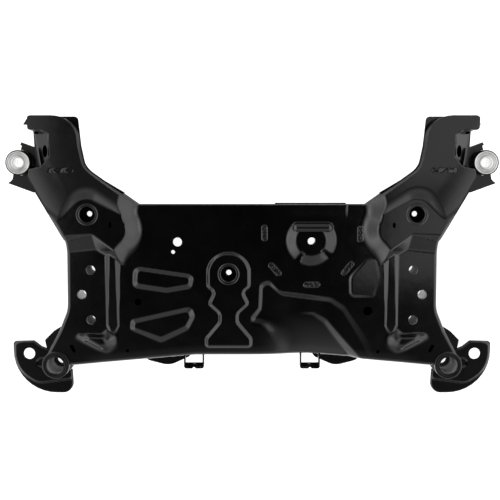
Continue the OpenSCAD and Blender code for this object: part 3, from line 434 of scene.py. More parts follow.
def dome_rise(points):
    """Dome with two dents in its wall, cut straight by a roofed bar."""
    x, y = points[:, 0] - DOME_AT[0], points[:, 1] - DOME_AT[1]
    turn = np.degrees(np.arctan2(y, x)) % 360
    dent = sum(soft_step((DENT_HALF - np.abs(turn - a)) / DENT_RAMP) for a in DOME_DENTS)
    out_r = DOME_OUT - DENT_REACH * dent
    dome = soft_step((out_r - np.hypot(x, y)) / (out_r - DOME_IN)) * DOME_RISE
    dome = np.minimum(dome, DOME_RISE * soft_step((BAR_FRONT - points[:, 1]) / BAR_CUT))
    c = capsule(points, *bar_ends)
    roof = ROOF_RISE * soft_step((ROOF_HALF - c) / ROOF_RUN, ROOF_SHARE)
    return np.maximum(dome, DOME_RISE * soft_step((BAR_HALF - c) / BAR_WALL, BAR_SHARE) + roof)


def pan_depth(points):
    """Depth of the pan, which falls further toward the rear edge."""
    x, y = points[:, 0], points[:, 1]
    pan = slope(points, LINE["pan_edge"], LINE["pan_floor"])
    run = PAN_LEFT_RUN + (PAN_RIGHT_RUN - PAN_LEFT_RUN) * soft_step(fade(x, *PAN_RUN_X), BROAD_SHARE)
    end = soft_step((PAN_END_Y - y) / run, LONG_SHARE) * soft_step(fade(x, *PAN_END_X), BROAD_SHARE)
    pan = pan * (1 - end)
    depth = PAN_DEPTH - PAN_LESS * soft_step(fade(x, *PAN_LESS_X), BROAD_SHARE)
    strip = STRIP_RISE * soft_step(fade(x, *STRIP_X), LONG_SHARE)
    shallow = (depth - strip) * pan * (1 - STRIP_LESS * fade(x, *STRIP_LESS_X) ** 2)
    down = np.clip((FALL_TOP - y) / FALL_RUN, 0, FALL_MOST)
    deep = depth * pan + FALL_DEPTH * down * down * soft_step(fade(x, *FALL_X), BROAD_SHARE)
    fall = slope(points, LINE["fall_edge"], LINE["fall_floor"])
    return shallow + fall * np.maximum(deep - shallow, 0)


def horn_level(q, far, wall):
    """Top of the horn with its flanged notch and the dished seat on the plateau."""
    x, y = q[:, 0], q[:, 1]
    plane = HORN_Z + (y - HORN_ROOT_Y) * HORN_SLOPE
    way_in = (x - ARCH_AT[0]) * ARCH_LEAN[0] + (y - ARCH_AT[1]) * ARCH_LEAN[1]
    arch = 1 - np.clip(way_in / ARCH_WIDTH, 0, 1)
    horn = plane - ARCH_DROP * arch * arch - HORN_EDGE_FALL * np.maximum(far - HORN_EDGE, 0)
    climb = np.maximum(signed(q, LINE["notch"]), 0) * np.where(y > HOOK_REAR, HOOK_WALL, NOTCH_WALL)
    flange = plane - NOTCH_STEP + (x + NOTCH_EDGE) * NOTCH_FALL + climb
    horn = soft_min(horn, np.maximum(flange, HORN_PLATE_Z + SHEET), PRESS_ROUND)
    dish = DECK_Z + PLATEAU_RISE + np.maximum(signed(q, LINE["dish"]) * DISH_SLOPE, -DISH_DEPTH)
    horn = soft_min(horn, dish, DISH_ROUND)
    return soft_min(horn, DECK_Z + wall, PRESS_ROUND)


def panel_height(points):
    """Height of the upper panel's outer skin."""
    q = folded(points)
    x, y = points[:, 0], points[:, 1]
    far = signed(q, LINE["horn_foot"])
    edge_in = np.maximum(-np.minimum(signed(q, LINE["deck"]), far), 0)
    wall = inner_wall(q)
    rise = side_rise(q, wall)
    pressings = {"bead_one": BEAD_RISE, "bead_two": BEAD_RISE, "keyhole": KEYHOLE_RISE,
                 "drop": DROP_RISE * fade(x, *DROP_X)}
    for name, h in pressings.items():
        rise = join(rise, slope(points, LINE[name + "_foot"], LINE[name + "_top"]) * h)
    rise = join(rise, dome_rise(points))
    z = deck_level(q, edge_in) + rise - pan_depth(points)
    for slot in weld_slots:
        d = capsule(points, *slot_ends(*slot))
        z = z - SLOT_DEPTH * soft_step((SLOT_WIDTH / 2 - d) / SLOT_WALL)
    step = fade(y, *FRONT_STEP_Y) * fade(x, *FRONT_STEP_RIGHT) * fade(x, *FRONT_STEP_LEFT)
    z = z + FRONT_STEP * step * step * (3 - 2 * step)
    return soft_max(z, horn_level(q, far, wall), CREASE + HORN_BLEND * fade(wall, *BLEND_WALL))


def panel_foot(y, gap=0.1):
    """Lower edge of the upper panel's walls: the skirt, or just above the horn plate."""
    climb = (HORN_PLATE_Z - TRAY_H - SHEET) * (y - RAMP_START) / (RAMP_END - RAMP_START)
    plate_top = np.minimum(TRAY_H + SHEET + climb, HORN_PLATE_Z)
    return np.where(y < WALL_START, SKIRT_Z, plate_top + gap)


# Meshes
def new_piece(name, points, faces, second):
    """Smooth object from points in millimetres; faces marked as second take the second material."""
    mesh = bpy.data.meshes.new(name)
    mesh.from_pydata((points * MM).tolist(), [], faces)
    mesh.update()
    mesh.polygons.foreach_set("use_smooth", np.ones(len(mesh.polygons), bool))
    mesh.polygons.foreach_set("material_index", np.asarray(second).astype(np.int32))
    obj = bpy.data.objects.new(name, mesh)
    bpy.context.scene.collection.objects.link(obj)
    return obj


def cut_grid(box, step, level_at, on_line=1e-6):
    """Points and faces of a grid over box (x, y, x, y), cut along the line where level_at() is 0."""
    xs = np.arange(box[0], box[2] + step, step)
    ys = np.arange(box[1], box[3] + step, step)
    gx, gy = np.meshgrid(xs, ys)
    grid = np.stack([gx.ravel(), gy.ravel()], axis=1)
    w = len(xs)
    level = level_at(grid)
    level = np.where(np.abs(level) < on_line, -on_line, level)
    inside = level < 0
    corner = (np.arange(len(ys) - 1)[:, None] * w + np.arange(w - 1)[None, :]).ravel()
    cells = np.stack([corner, corner + 1, corner + w + 1, corner + w], axis=1)
    count = inside[cells].sum(1)
    points = [tuple(p) for p in grid]
    extra = {}

    def crossing(a, b):
        key = (min(a, b), max(a, b))
        if key not in extra:
            t = level[a] / (level[a] - level[b])
            points.append(tuple(grid[a] + (grid[b] - grid[a]) * t))
            extra[key] = len(points) - 1
        return extra[key]

    faces = [tuple(c) for c in cells[count == 4]]
    for c in cells[(count > 0) & (count < 4)]:
        poly = []
        for k in range(4):
            a, b = c[k], c[(k + 1) % 4]
            if inside[a]:
                poly.append(a)
            if inside[a] != inside[b]:
                poly.append(crossing(a, b))
        if len(poly) > 2:
            faces.append(tuple(poly))
    used = np.unique(np.concatenate([np.array(f) for f in faces]))
    index = np.full(len(points), -1)
    index[used] = np.arange(len(used))
    return np.array(points, float)[used], [index[list(f)] for f in faces]


def thinned(points, faces, flat_angle=0.35):
    """Points, faces and rim edges of a surface whose flat stretches are joined into large faces."""
    bm = bmesh.new()
    verts = [bm.verts.new(p) for p in points]
    for f in faces:
        bm.faces.new([verts[i] for i in f])
    bmesh.ops.dissolve_limit(bm, angle_limit=math.radians(flat_angle), use_dissolve_boundaries=False,
                             verts=bm.verts[:], edges=bm.edges[:])
    long_faces = [f for f in bm.faces if len(f.verts) > 4]
    bmesh.ops.triangulate(bm, faces=long_faces)
    bm.verts.ensure_lookup_table()
    bm.verts.index_update()
    top = np.array([v.co for v in bm.verts], float)
    tops = [[v.index for v in f.verts] for f in bm.faces]
    rims = [(l.vert.index, l.link_loop_next.vert.index)
            for e in bm.edges if e.is_boundary for l in e.link_loops]
    bm.free()
    return top, tops, rims


def changes(function, points, h):
    """How much function() changes across each point, from h before to h after it, along x and y."""
    dx, dy = np.array([h, 0.0]), np.array([0.0, h])
    return function(points + dx) - function(points - dx), function(points + dy) - function(points - dy)


def unit(vectors):
    """The vectors at length 1."""
    return vectors / np.maximum(np.linalg.norm(vectors, axis=1), 1e-9)[:, None]


def pressed_sheet(name, box, step, edge, holes, height, foot, thick,
                  probe=0.4, edge_probe=0.3, near_edge=0.35):
    """Sheet whose top follows height(), cut to edge() < 0 and holes() < 0, with walls down to foot().

    Slopes are measured over the probes; near_edge is a share of the grid's step.
    """
    flat, faces = cut_grid(box, step, lambda p: np.maximum(edge(p), holes(p)))
    top, tops, rims = thinned(np.column_stack([flat, height(flat)]), faces)
    flat = top[:, :2]
    gx, gy = changes(height, flat, probe)
    up = unit(np.stack([-gx / (2 * probe), -gy / (2 * probe), np.ones(len(flat))], axis=1))
    side = unit(np.stack([*changes(edge, flat, edge_probe), np.zeros(len(flat))], axis=1))
    at_rim = np.zeros(len(top), bool)
    at_rim[np.unique(np.array(rims).ravel())] = True
    wall = at_rim & (np.abs(edge(flat)) < near_edge * step)
    out = np.where(wall[:, None], side, up)
    under = top - out * thick

    n = len(top)
    walled = np.nonzero(wall)[0]
    m = len(walled)
    low_of = {v: 2 * n + k for k, v in enumerate(walled)}
    low, low_in = top[walled], under[walled]
    low[:, 2] = low_in[:, 2] = foot(top[walled, 1])
    polys, norms = [], []

    def add(ids, ns):
        polys.append(ids)
        norms.extend(ns)

    for f in tops:
        add(f, [up[i] for i in f])
    for f in tops:
        back = f[::-1]
        add([i + n for i in back], [-out[i] for i in back])
    skins = len(polys)
    down = np.array([0.0, 0.0, -1.0])
    for a, b in rims:
        if wall[a] and wall[b]:
            la, lb = low_of[a], low_of[b]
            add([b, a, la, lb], [side[b], side[a], side[a], side[b]])
            add([a + n, b + n, lb + m, la + m], [-side[a], -side[b], -side[b], -side[a]])
            add([lb, la, la + m, lb + m], [down] * 4)
        else:
            e = top[b] - top[a]
            across = unit(np.array([[e[1], -e[0], 0.0]]))[0]
            add([b, a, a + n, b + n], [across] * 4)
    points = np.concatenate([top, under, low, low_in])
    obj = new_piece(name, points, polys, np.arange(len(polys)) >= skins)
    obj.data.normals_split_custom_set([tuple(v) for v in norms])
    return obj


def turned(name, profile, at, segments=96, fillet_steps=3, sharp=32.0, bore=0.0):
    """Closed profile [radius, height, fillet] turned about an upright axis.

    Faces that lie within the radius bore count as second.
    """
    line = ring(profile, fillet_steps)
    k = len(line)
    ang = np.arange(segments) * 2 * math.pi / segments
    pts = np.stack([np.outer(np.cos(ang), line[:, 0]) + at[0],
                    np.outer(np.sin(ang), line[:, 0]) + at[1],
                    np.outer(np.ones(segments), line[:, 1])], axis=2).reshape(-1, 3)
    after = np.roll(line, -1, axis=0)
    area = 0.5 * float(np.sum(line[:, 0] * after[:, 1] - after[:, 0] * line[:, 1]))
    faces = []
    for s in range(segments):
        t = (s + 1) % segments
        for i in range(k):
            j = (i + 1) % k
            quad = [s * k + i, t * k + i, t * k + j, s * k + j]
            faces.append(quad if area > 0 else quad[::-1])
    inner = (line[:, 0] < bore) & (after[:, 0] < bore)
    obj = new_piece(name, pts, faces, np.tile(inner, segments))
    obj.data.set_sharp_from_angle(angle=math.radians(sharp))
    return obj


def tube(r_in, r_out, low, top, round_in, round_out):
    """Profile of a plain tube."""
    return [[r_in, low, round_in], [r_out, low, round_out], [r_out, top, round_out], [r_in, top, round_in]]


# Weld beads: how the sides wander, how the ripples run, the lumps that random waves make, and the lump level
# below which a bead's faces take a dark matte coat as painted shade
WELD_WIDTH, WELD_GRID, WELD_SINK, WELD_BACK = 11.0, 0.55, 0.25, 1.5
WANDER, WANDER_RATE, FRAY, FRAY_RATE = 0.10, 0.9, 0.06, 2.3
RIPPLE_RATE, RIPPLE_LEAN, WEAVE_RATE, WEAVE_LEAN = 0.55, 2.6, 3.2, 0.3
GROOVE_AT, GROOVE_WIDTH, GROOVE_DEPTH = 0.2, 0.26, 0.45
CROWN_POWER = 8
SHIFT_MOST, SHIFT_DRAWS = 6.28, 8
LUMP_WAVES, LUMP_SCALE, SHADE_LUMP = 7, 2.6, 0.12


def weld_bead(name, runs, base, seed, tall, rough, lumps):
    """Rippled bead along each run (a, b), its foot on base(points), with lumps of that range of lengths."""
    rng = np.random.default_rng(seed)
    pts, faces, shaded_hollow = [], [], []
    half = WELD_WIDTH / 2
    for a, b in runs:
        a, b = np.array(a, float), np.array(b, float)
        length = np.linalg.norm(b - a)
        u = (b - a) / length
        v = np.array([-u[1], u[0]])
        ns, nt = int((length + WELD_WIDTH) / WELD_GRID), int(WELD_WIDTH / WELD_GRID)
        # the first four draws shift the wandering sides and the ripples, the others keep the seeds' lumps
        wave = rng.uniform(0, SHIFT_MOST, SHIFT_DRAWS)
        waves = rng.uniform(0, 2 * math.pi, (LUMP_WAVES, 2))
        waves[:, 1] = 2 * math.pi / rng.uniform(*lumps, LUMP_WAVES)
        turns = rng.uniform(0, math.pi, LUMP_WAVES)
        start = len(pts)
        for si in np.linspace(-half, length + half, ns):
            end = max(-si, si - length, 0.0)
            reach = math.sqrt(max(half * half - end * end, 0.0))
            reach *= (1 + WANDER * math.sin(si * WANDER_RATE + wave[0])
                      + FRAY * math.sin(si * FRAY_RATE + wave[1]))
            for t in np.linspace(-1, 1, nt):
                p = a + u * si + v * (t * reach)
                crown = (1 - abs(t) ** CROWN_POWER) * min(1.0, reach / half)
                ripple = math.sin(si * RIPPLE_RATE + RIPPLE_LEAN * t + wave[2])
                ripple *= math.cos(t * WEAVE_RATE + WEAVE_LEAN * si + wave[3])
                groove = math.exp(-((ripple - GROOVE_AT) / GROOVE_WIDTH) ** 2)
                lump = sum(math.sin(k * (si * math.cos(g) + t * reach * math.sin(g)) + f)
                           for (f, k), g in zip(waves, turns)) / LUMP_SCALE
                h = tall * crown * (1.0 - GROOVE_DEPTH * groove + rough * lump) - WELD_SINK
                pts.append((p[0], p[1], h))
                # faces on the low lumps are marked for the bead's second material, a matte coat that looks
                # dark: painted shade in the bead's hollows
                shaded_hollow.append(lump < SHADE_LUMP)
        for i in range(ns - 1):
            for j in range(nt - 1):
                k = start + i * nt + j
                faces.append((k, k + nt, k + nt + 1, k + 1))
    arr = np.array(pts)
    arr[:, 2] += base(arr[:, :2])
    obj = new_piece(name, arr, faces, np.array(shaded_hollow)[np.array(faces)[:, 0]])
    thick = obj.modifiers.new("thickness", "SOLIDIFY")
    thick.thickness = WELD_BACK * MM
    thick.offset = -1
    return obj


# Materials
def material(name):
    """New material, its node tree and its shader."""
    mat = bpy.data.materials.new(name)
    mat.use_nodes = True
    tree = mat.node_tree
    return mat, tree, tree.nodes["Principled BSDF"]


def add_node(tree, kind, **values):
    """New node; each value goes to the setting or to the input of that name."""
    node = tree.nodes.new(kind)
    for key, value in values.items():
        if hasattr(node, key):
            setattr(node, key, value)
        else:
            node.inputs[key].default_value = value
    return node


def calc(tree, operation, *inputs):
    """Result of a math node on sockets or numbers."""
    node = add_node(tree, "ShaderNodeMath", operation=operation)
    for socket, value in zip(node.inputs, inputs):
        if isinstance(value, bpy.types.NodeSocket):
            tree.links.new(value, socket)
        else:
            socket.default_value = value
    return node.outputs["Value"]


def noise(tree, coords, scale, detail=4.0, rough=0.55):
    node = add_node(tree, "ShaderNodeTexNoise", Scale=scale, Detail=detail, Roughness=rough)
    tree.links.new(coords, node.inputs["Vector"])
    return node.outputs["Fac"]


def ramp(tree, source, stops):
    """Colour ramp with stops (place, value); a value is a colour or one number for a grey."""
    node = add_node(tree, "ShaderNodeValToRGB")
    while len(node.color_ramp.elements) < len(stops):
        node.color_ramp.elements.new(0.5)
    for el, (place, value) in zip(node.color_ramp.elements, stops):
        el.position = place
        el.color = (*value, 1) if isinstance(value, tuple) else (value, value, value, 1)
    tree.links.new(source, node.inputs["Fac"])
    return node.outputs["Color"]


def bump(tree, source, strength, distance, normal=None):
    node = add_node(tree, "ShaderNodeBump", Strength=strength, Distance=distance)
    tree.links.new(source, node.inputs["Height"])
    if normal is not None:
        tree.links.new(normal, node.inputs["Normal"])
    return node.outputs["Normal"]


def object_coords(tree):
    return add_node(tree, "ShaderNodeTexCoord").outputs["Object"]


def wire(tree, bsdf, tone, gloss, normal):
    """Joins colour, roughness and bump to the shader."""
    tree.links.new(tone, bsdf.inputs["Base Color"])
    tree.links.new(gloss, bsdf.inputs["Roughness"])
    tree.links.new(normal, bsdf.inputs["Normal"])


def coated_steel(name, dark, light, rough, peel=0.12, shine=0.5):
    """Black dip coating over steel: cloudy tone, varying gloss, orange peel."""
    mat, tree, bsdf = material(name)
    coords = object_coords(tree)
    tone = ramp(tree, noise(tree, coords, scale=9.0, detail=5.0), [(0.3, dark), (0.72, light)])
    patch = noise(tree, coords, scale=26.0, detail=6.0, rough=0.6)
    gloss = ramp(tree, patch, [(0.3, rough[0]), (0.75, rough[1])])
    wavy = bump(tree, noise(tree, coords, scale=38.0, detail=2.0, rough=0.5), strength=0.10, distance=0.0012)
    skin = noise(tree, coords, scale=420.0, detail=2.0, rough=0.5)
    wire(tree, bsdf, tone, gloss, bump(tree, skin, strength=peel, distance=0.0002, normal=wavy))
    bsdf.inputs["IOR"].default_value = 1.5
    bsdf.inputs["Specular IOR Level"].default_value = shine
    return mat


def weld_steel(name):
    """Coated weld bead: dark and glossy, with a fine grain."""
    mat, tree, bsdf = material(name)
    grain = noise(tree, object_coords(tree), scale=260.0, detail=6.0, rough=0.65)
    tone = ramp(tree, grain, [(0.3, 0.0008), (0.75, (0.004, 0.004, 0.0038))])
    gloss = ramp(tree, grain, [(0.25, 0.12), (0.8, 0.24)])
    wire(tree, bsdf, tone, gloss, bump(tree, grain, strength=0.12, distance=0.0006))
    return mat


def turned_steel(name, at, dark, light, rough, pitch=0.9, cut=0.25):
    """Bare steel with the fine rings that a turning tool leaves round the axis at."""
    mat, tree, bsdf = material(name)
    coords = object_coords(tree)
    shift = add_node(tree, "ShaderNodeMapping", Location=(-at[0] * MM, -at[1] * MM, 0))
    tree.links.new(coords, shift.inputs["Vector"])
    split = add_node(tree, "ShaderNodeSeparateXYZ")
    tree.links.new(shift.outputs["Vector"], split.inputs["Vector"])
    flat = add_node(tree, "ShaderNodeCombineXYZ")
    tree.links.new(split.outputs["X"], flat.inputs["X"])
    tree.links.new(split.outputs["Y"], flat.inputs["Y"])
    radius = add_node(tree, "ShaderNodeVectorMath", operation="LENGTH")
    tree.links.new(flat.outputs["Vector"], radius.inputs[0])
    turn = calc(tree, "MULTIPLY", radius.outputs["Value"], 2 * math.pi / (pitch * MM))
    cloud = noise(tree, coords, scale=60.0, detail=5.0)
    tone = ramp(tree, cloud, [(0.3, dark), (0.7, light)])
    gloss = ramp(tree, cloud, [(0.3, rough), (0.75, rough + 0.12)])
    wire(tree, bsdf, tone, gloss, bump(tree, calc(tree, "SINE", turn), strength=cut, distance=0.00008))
    bsdf.inputs["Metallic"].default_value = 1.0
    return mat


def moulded_rubber(name):
    mat, tree, bsdf = material(name)
    grain = noise(tree, object_coords(tree), scale=300.0)
    tone = ramp(tree, grain, [(0.3, 0.012), (0.7, 0.028)])
    gloss = ramp(tree, grain, [(0.3, 0.55), (0.7, 0.75)])
    wire(tree, bsdf, tone, gloss, bump(tree, grain, strength=0.3, distance=0.0002))
    return mat


coat = coated_steel("coated_sheet", 0.0005, 0.0012, rough=(0.11, 0.17))
coat_thick = coated_steel("coated_bracket", (0.0014, 0.0014, 0.0015), (0.0034, 0.0033, 0.0031),
                          rough=(0.18, 0.28), peel=0.16, shine=0.34)
coat_turned = coated_steel("coated_turned", (0.0016, 0.0016, 0.0017), (0.0038, 0.0037, 0.0035),
                           rough=(0.18, 0.26), peel=0.08)
coat_wall = coated_steel("coated_wall", (0.0010, 0.0010, 0.0011), (0.0022, 0.0021, 0.0021),
                         rough=(0.55, 0.7), peel=0.16, shine=0.08)
# grey of the front and rear arm tubes: painted light seen down their bores
arm_bore_light = coated_steel("arm_bore_painted_light", 0.20, 0.27, rough=(0.5, 0.65), peel=0.16, shine=0.2)
coat_ear = coated_steel("coated_ear", 0.0006, 0.0016, rough=(0.10, 0.16), shine=0.42)
weld = weld_steel("coated_weld_bead")
# grey of the rear sleeves' bores: painted light on the bores' walls
sleeve_bore_light = coated_steel("sleeve_bore_painted_light", 0.15, (0.21, 0.21, 0.205), rough=(0.4, 0.5), peel=0.08)
rubber = moulded_rubber("bush_rubber_black")


def dress(obj, mat, slot_name, *stands_for, walls=None):
    """Gives a piece its material (and its walls another) and its body, and hides the nodes it stands for;
    slot_name is not used.
    """
    index = np.zeros(len(obj.data.polygons), np.int32)
    obj.data.polygons.foreach_get("material_index", index)
    obj.data.materials.clear()
    obj.data.materials.append(mat)
    if walls:
        obj.data.materials.append(walls)
        obj.data.polygons.foreach_set("material_index", index)
    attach(obj, "root")
    if stands_for:
        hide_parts(*stands_for)
    return obj


# Upper panel as a piece
PANEL_BOX, PANEL_GRID = (-446, -30, 446, 502), 2.0
panel = pressed_sheet("upper_panel_skin", PANEL_BOX, PANEL_GRID, panel_edge, panel_holes,
                      panel_height, panel_foot, SHEET)
dress(panel, coat, "coated_steel", "upper_panel", walls=coat_wall)


# Rear ears
def ear_edge(points):
    """Signed distance to the ear's outline, which ends beside the deck's wall."""
    q = folded(points)
    return np.maximum(signed(q, LINE["ear"]), -signed(q, LINE["beside_ear"]))


def ear_holes(points):
    return disc(folded(points), *EAR_HOLE, EAR_HOLE_R)


def ear_height(points):
    """Raised part of the ear, a step down to its low lobe, a dent and a rounded edge."""
    q = folded(points)
    edge_in = np.maximum(-signed(q, LINE["ear"]), 0)
    raised = LINE["ear_raised"]
    beyond = np.where(within(q, raised), 0.0, to_line(q, raised))
    z = EAR_Z - EAR_STEP * soft_step(beyond / EAR_STEP_RUN, EAR_STEP_SHARE)
    dent_x, dent_y = ((q - EAR_DENT_AT) / EAR_DENT_HALF).T
    z = z - EAR_DENT * soft_step((1.0 - np.hypot(dent_x, dent_y)) / EAR_DENT_WALL, LONG_SHARE)
    return z - EAR_ROUND * quarter(edge_in / EAR_ROUND)


def ear_foot(y):
    return np.full(len(y), EAR_Z - EAR_RIM)


EAR_BOX, EAR_GRID = {"left": (-494, -69, -364, 45), "right": (364, -69, 494, 45)}, 1.5
for _, word in SIDES:
    ear = pressed_sheet(word + "_rear_ear_skin", EAR_BOX[word], EAR_GRID, ear_edge, ear_holes,
                        ear_height, ear_foot, EAR_SHEET)
    dress(ear, coat_ear, "coated_steel", word + "_rear_ear", walls=coat_wall)

# Bushes: radii of the rings from outside in, and how far the faces lie below the eye's ends
BUSH_HALF = 21.0
EYE_OUT, EYE_IN, RING_OUT, RING_IN = 24.5, 22.55, 22.5, 20.3
FACE_OUT, FACE_IN, CORE_OUT, CORE_IN = 20.2, 12.6, 12.5, 9.25
FACE_TOP, FACE_LOW, CORE_OVER = 1.5, 3.5, 2.0
# grooves of the upper face from outside in: radius, depth below the eye's end, fillet
face_grooves = [[FACE_OUT, 1.7, 0.3], [19.2, FACE_TOP, 0.2], [18.4, 2.0, 0.2], [17.6, FACE_TOP, 0.2],
                [14.4, FACE_TOP, 0.2], [13.8, 1.9, 0.2], [FACE_IN, FACE_TOP, 0.3]]


def bush(word, at):
    """Eye, bright outer ring, rubber, turned faces and core of a bush."""
    low, top = BUSH_Z - BUSH_HALF, BUSH_Z + BUSH_HALF
    name = word + "_bush_"
    eye = turned(name + "eye_turned", tube(EYE_IN, EYE_OUT, low, top, 0.4, 0.9), at)
    dress(eye, coat_wall, "coated_steel", name + "eye")
    bright = turned_steel(name + "sleeve_steel", at, (0.62, 0.62, 0.61), (0.78, 0.78, 0.77), rough=0.24)
    face = turned_steel(name + "face_steel", at, (0.44, 0.44, 0.43), (0.58, 0.58, 0.57),
                        rough=0.30, pitch=1.1, cut=0.5)
    sleeve = turned(name + "outer_ring", tube(RING_IN, RING_OUT, low, top, 0.4, 0.7), at)
    dress(sleeve, bright, "plated_steel", name + "outer_sleeve")
    soft = turned(name + "rubber_body", tube(CORE_OUT, RING_IN, low + FACE_LOW, top - FACE_LOW, 0.3, 0.3), at)
    dress(soft, rubber, "bush_rubber", name + "rubber")
    upper = [[FACE_IN, top - FACE_LOW, 0.1], [FACE_OUT, top - FACE_LOW, 0.1]]
    upper += [[r, top - depth, fillet] for r, depth, fillet in face_grooves]
    dress(turned(name + "face_ring", upper, at), face, "turned_steel", name + "washers")
    lower = [[FACE_IN, low + FACE_TOP, 0.3], [FACE_OUT, low + FACE_TOP, 0.3],
             [FACE_OUT, low + FACE_LOW, 0.1], [FACE_IN, low + FACE_LOW, 0.1]]
    dress(turned(name + "face_ring_low", lower, at), face, "turned_steel", name + "washers")
    core = turned(name + "core", tube(CORE_IN, CORE_OUT, low - CORE_OVER, top + CORE_OVER, 0.5, 0.6), at)
    dress(core, bright, "plated_steel", name + "inner_sleeve")


# Rear sleeves: radii, and heights above the deck of the collar, the sleeve and the groove between them
SLEEVE_HOLE, SLEEVE_BORE, SLEEVE_MOUTH, SLEEVE_OUT, SLEEVE_FLOOR = 10.5, 16.5, 18.0, 19.0, 5.0
REAR_COLLAR_OUT, REAR_COLLAR_IN, GROOVE_OUT = 27.5, 21.0, 20.4
REAR_COLLAR_TOP, SLEEVE_TOP, MOUTH_FOOT, GROOVE_FLOOR = 4.0, 5.0, 3.5, 0.5
# faces up to this much outside a bore's radius still count as its wall
BORE_ROOM, COLLAR_ROOM = 0.1, 0.3


def rear_sleeve(word, at):
    """Sleeve that stands in its loose collar on the deck; its bore is grey, painted light on the bore's wall.
    """
    piece = turned(word + "_rear_sleeve_turned", [
        [SLEEVE_HOLE, 0, 0.4], [SLEEVE_OUT, 0, 0.6], [SLEEVE_OUT, DECK_Z, 0.1],
        [REAR_COLLAR_OUT, DECK_Z, 0.2], [REAR_COLLAR_OUT, DECK_Z + REAR_COLLAR_TOP, 1.2],
        [REAR_COLLAR_IN, DECK_Z + REAR_COLLAR_TOP, 0.5], [GROOVE_OUT, DECK_Z + GROOVE_FLOOR, 0.2],
        [SLEEVE_OUT, DECK_Z + GROOVE_FLOOR, 0.2], [SLEEVE_OUT, DECK_Z + SLEEVE_TOP, 0.5],
        [SLEEVE_MOUTH, DECK_Z + SLEEVE_TOP, 0.4], [SLEEVE_BORE, DECK_Z + MOUTH_FOOT, 0.4],
        [SLEEVE_BORE, SLEEVE_FLOOR, 0.8], [SLEEVE_HOLE, SLEEVE_FLOOR, 0.5]], at, bore=SLEEVE_BORE + BORE_ROOM)
    # the grey bore material is painted light on the bore's wall
    dress(piece, coat_turned, "coated_steel", word + "_rear_sleeve", walls=sleeve_bore_light)


for side, word in SIDES:
    bush(word, (side * BUSH_X, BUSH_Y))
    rear_sleeve(word, (side * REAR_X, 0.0))

# Steering gear collars and centre collar
COLLAR_HOLE, COLLAR_BORE, COLLAR_MOUTH, COLLAR_BODY = 5.5, 15.0, 17.0, 17.5
COLLAR_CROWN, COLLAR_RIM = 20.0, 22.0
COLLAR_TOP, COLLAR_RIM_H, COLLAR_MOUTH_FOOT = 2.5, 1.0, 0.5
COLLAR_DEPTH, COLLAR_FLOOR = 38.0, 6.0


def gear_collar(node, at, seat):
    """Turned cup whose rim lies on the panel at height seat."""
    low, floor_z, top = seat - COLLAR_DEPTH, seat - COLLAR_DEPTH + COLLAR_FLOOR, seat + COLLAR_TOP
    piece = turned(node + "_turned", [
        [COLLAR_HOLE, low, 0.4], [COLLAR_BODY, low, 0.6], [COLLAR_BODY, seat, 0.1], [COLLAR_RIM, seat, 0.2],
        [COLLAR_RIM, seat + COLLAR_RIM_H, 0.4], [COLLAR_CROWN, top, 0.8], [COLLAR_MOUTH, top, 0.6],
        [COLLAR_BORE, seat + COLLAR_MOUTH_FOOT, 0.6], [COLLAR_BORE, floor_z, 0.8],
        [COLLAR_HOLE, floor_z, 0.4]], at, bore=COLLAR_BORE + COLLAR_ROOM)
    dress(piece, coat_turned, "coated_steel", node, walls=coat_wall)


for side, word in SIDES:
    gear_collar(word + "_gear_collar", (side * GEAR_X, GEAR_Y), DECK_Z + PLATEAU_RISE)
gear_collar("centre_collar", COLLAR_AT, DECK_Z + KEYHOLE_RISE)

# Welds as pieces: where the horn welds run, and how deep the slot welds lie
HORN_WELD_Y, HORN_WELD_OUT, HORN_WELD_IN, HORN_WELD_SEED = 392.0, 396.0, 354.0, 24
SLOT_WELD_SINK, SLOT_WELD_SEED = 0.7, 7
slots = weld_bead("slot_weld_beads", [slot_ends(*s) for s in weld_slots],
                  lambda p: np.full(len(p), DECK_Z - SLOT_WELD_SINK), SLOT_WELD_SEED,
                  tall=0.6, rough=0.35, lumps=(4.5, 9.0))
dress(slots, weld, "coated_weld", "slot_welds")
for side, word in SIDES:
    run = ((side * HORN_WELD_OUT, HORN_WELD_Y), (side * HORN_WELD_IN, HORN_WELD_Y))
    bead = weld_bead(word + "_horn_weld_bead", [run], panel_height, HORN_WELD_SEED + side,
                     tall=2.2, rough=0.8, lumps=(9.0, 22.0))
    # the matte wall coat on the bead's low lumps is painted shade
    dress(bead, weld, "coated_weld", word + "_horn_weld", walls=coat_wall)

# Nodes kept from the CAD: material and width of the rounded edges
ROLLED_FROM, ROLLED_STEPS = 40, 3
kept = {"lower_panel": (coat, 0.9), "dome_nut": (coat_thick, 0.5), "reinforcing_plate": (coat_thick, 0.8)}
kept_on_sides = {
    "horn_plate": (coat, 0.8), "bush_bracket": (coat_thick, 0.9), "rear_gusset": (coat_thick, 0.8),
    # the front and rear arm tubes are grey as painted light in their bores; the middle one keeps the black
    # coat
    "front_arm_tube": (arm_bore_light, 0.5), "middle_arm_tube": (coat_turned, 0.5),
    "rear_arm_tube": (arm_bore_light, 0.5), "rear_strap": (coat_thick, 0.9)}
for _, word in SIDES:
    kept.update({word + "_" + name: look for name, look in kept_on_sides.items()})
for name, (mat, width) in kept.items():
    node = nodes[name]
    node.data.materials.clear()
    node.data.materials.append(mat)
    rolled = node.modifiers.new("rolled_edges", "BEVEL")
    rolled.width = width * MM
    rolled.segments = ROLLED_STEPS
    rolled.limit_method = "ANGLE"
    rolled.angle_limit = math.radians(ROLLED_FROM)
    rolled.harden_normals = True

# Studio, in metres: a tent that glows at its sides and ends, two softboxes, a white floor
TENT_STRENGTH = 2.4
FLOOR_SIZE, FLOOR_AT, FLOOR_TONE, FLOOR_GLOW = 30, (0, 0.2, -0.0005), 0.45, 0.97
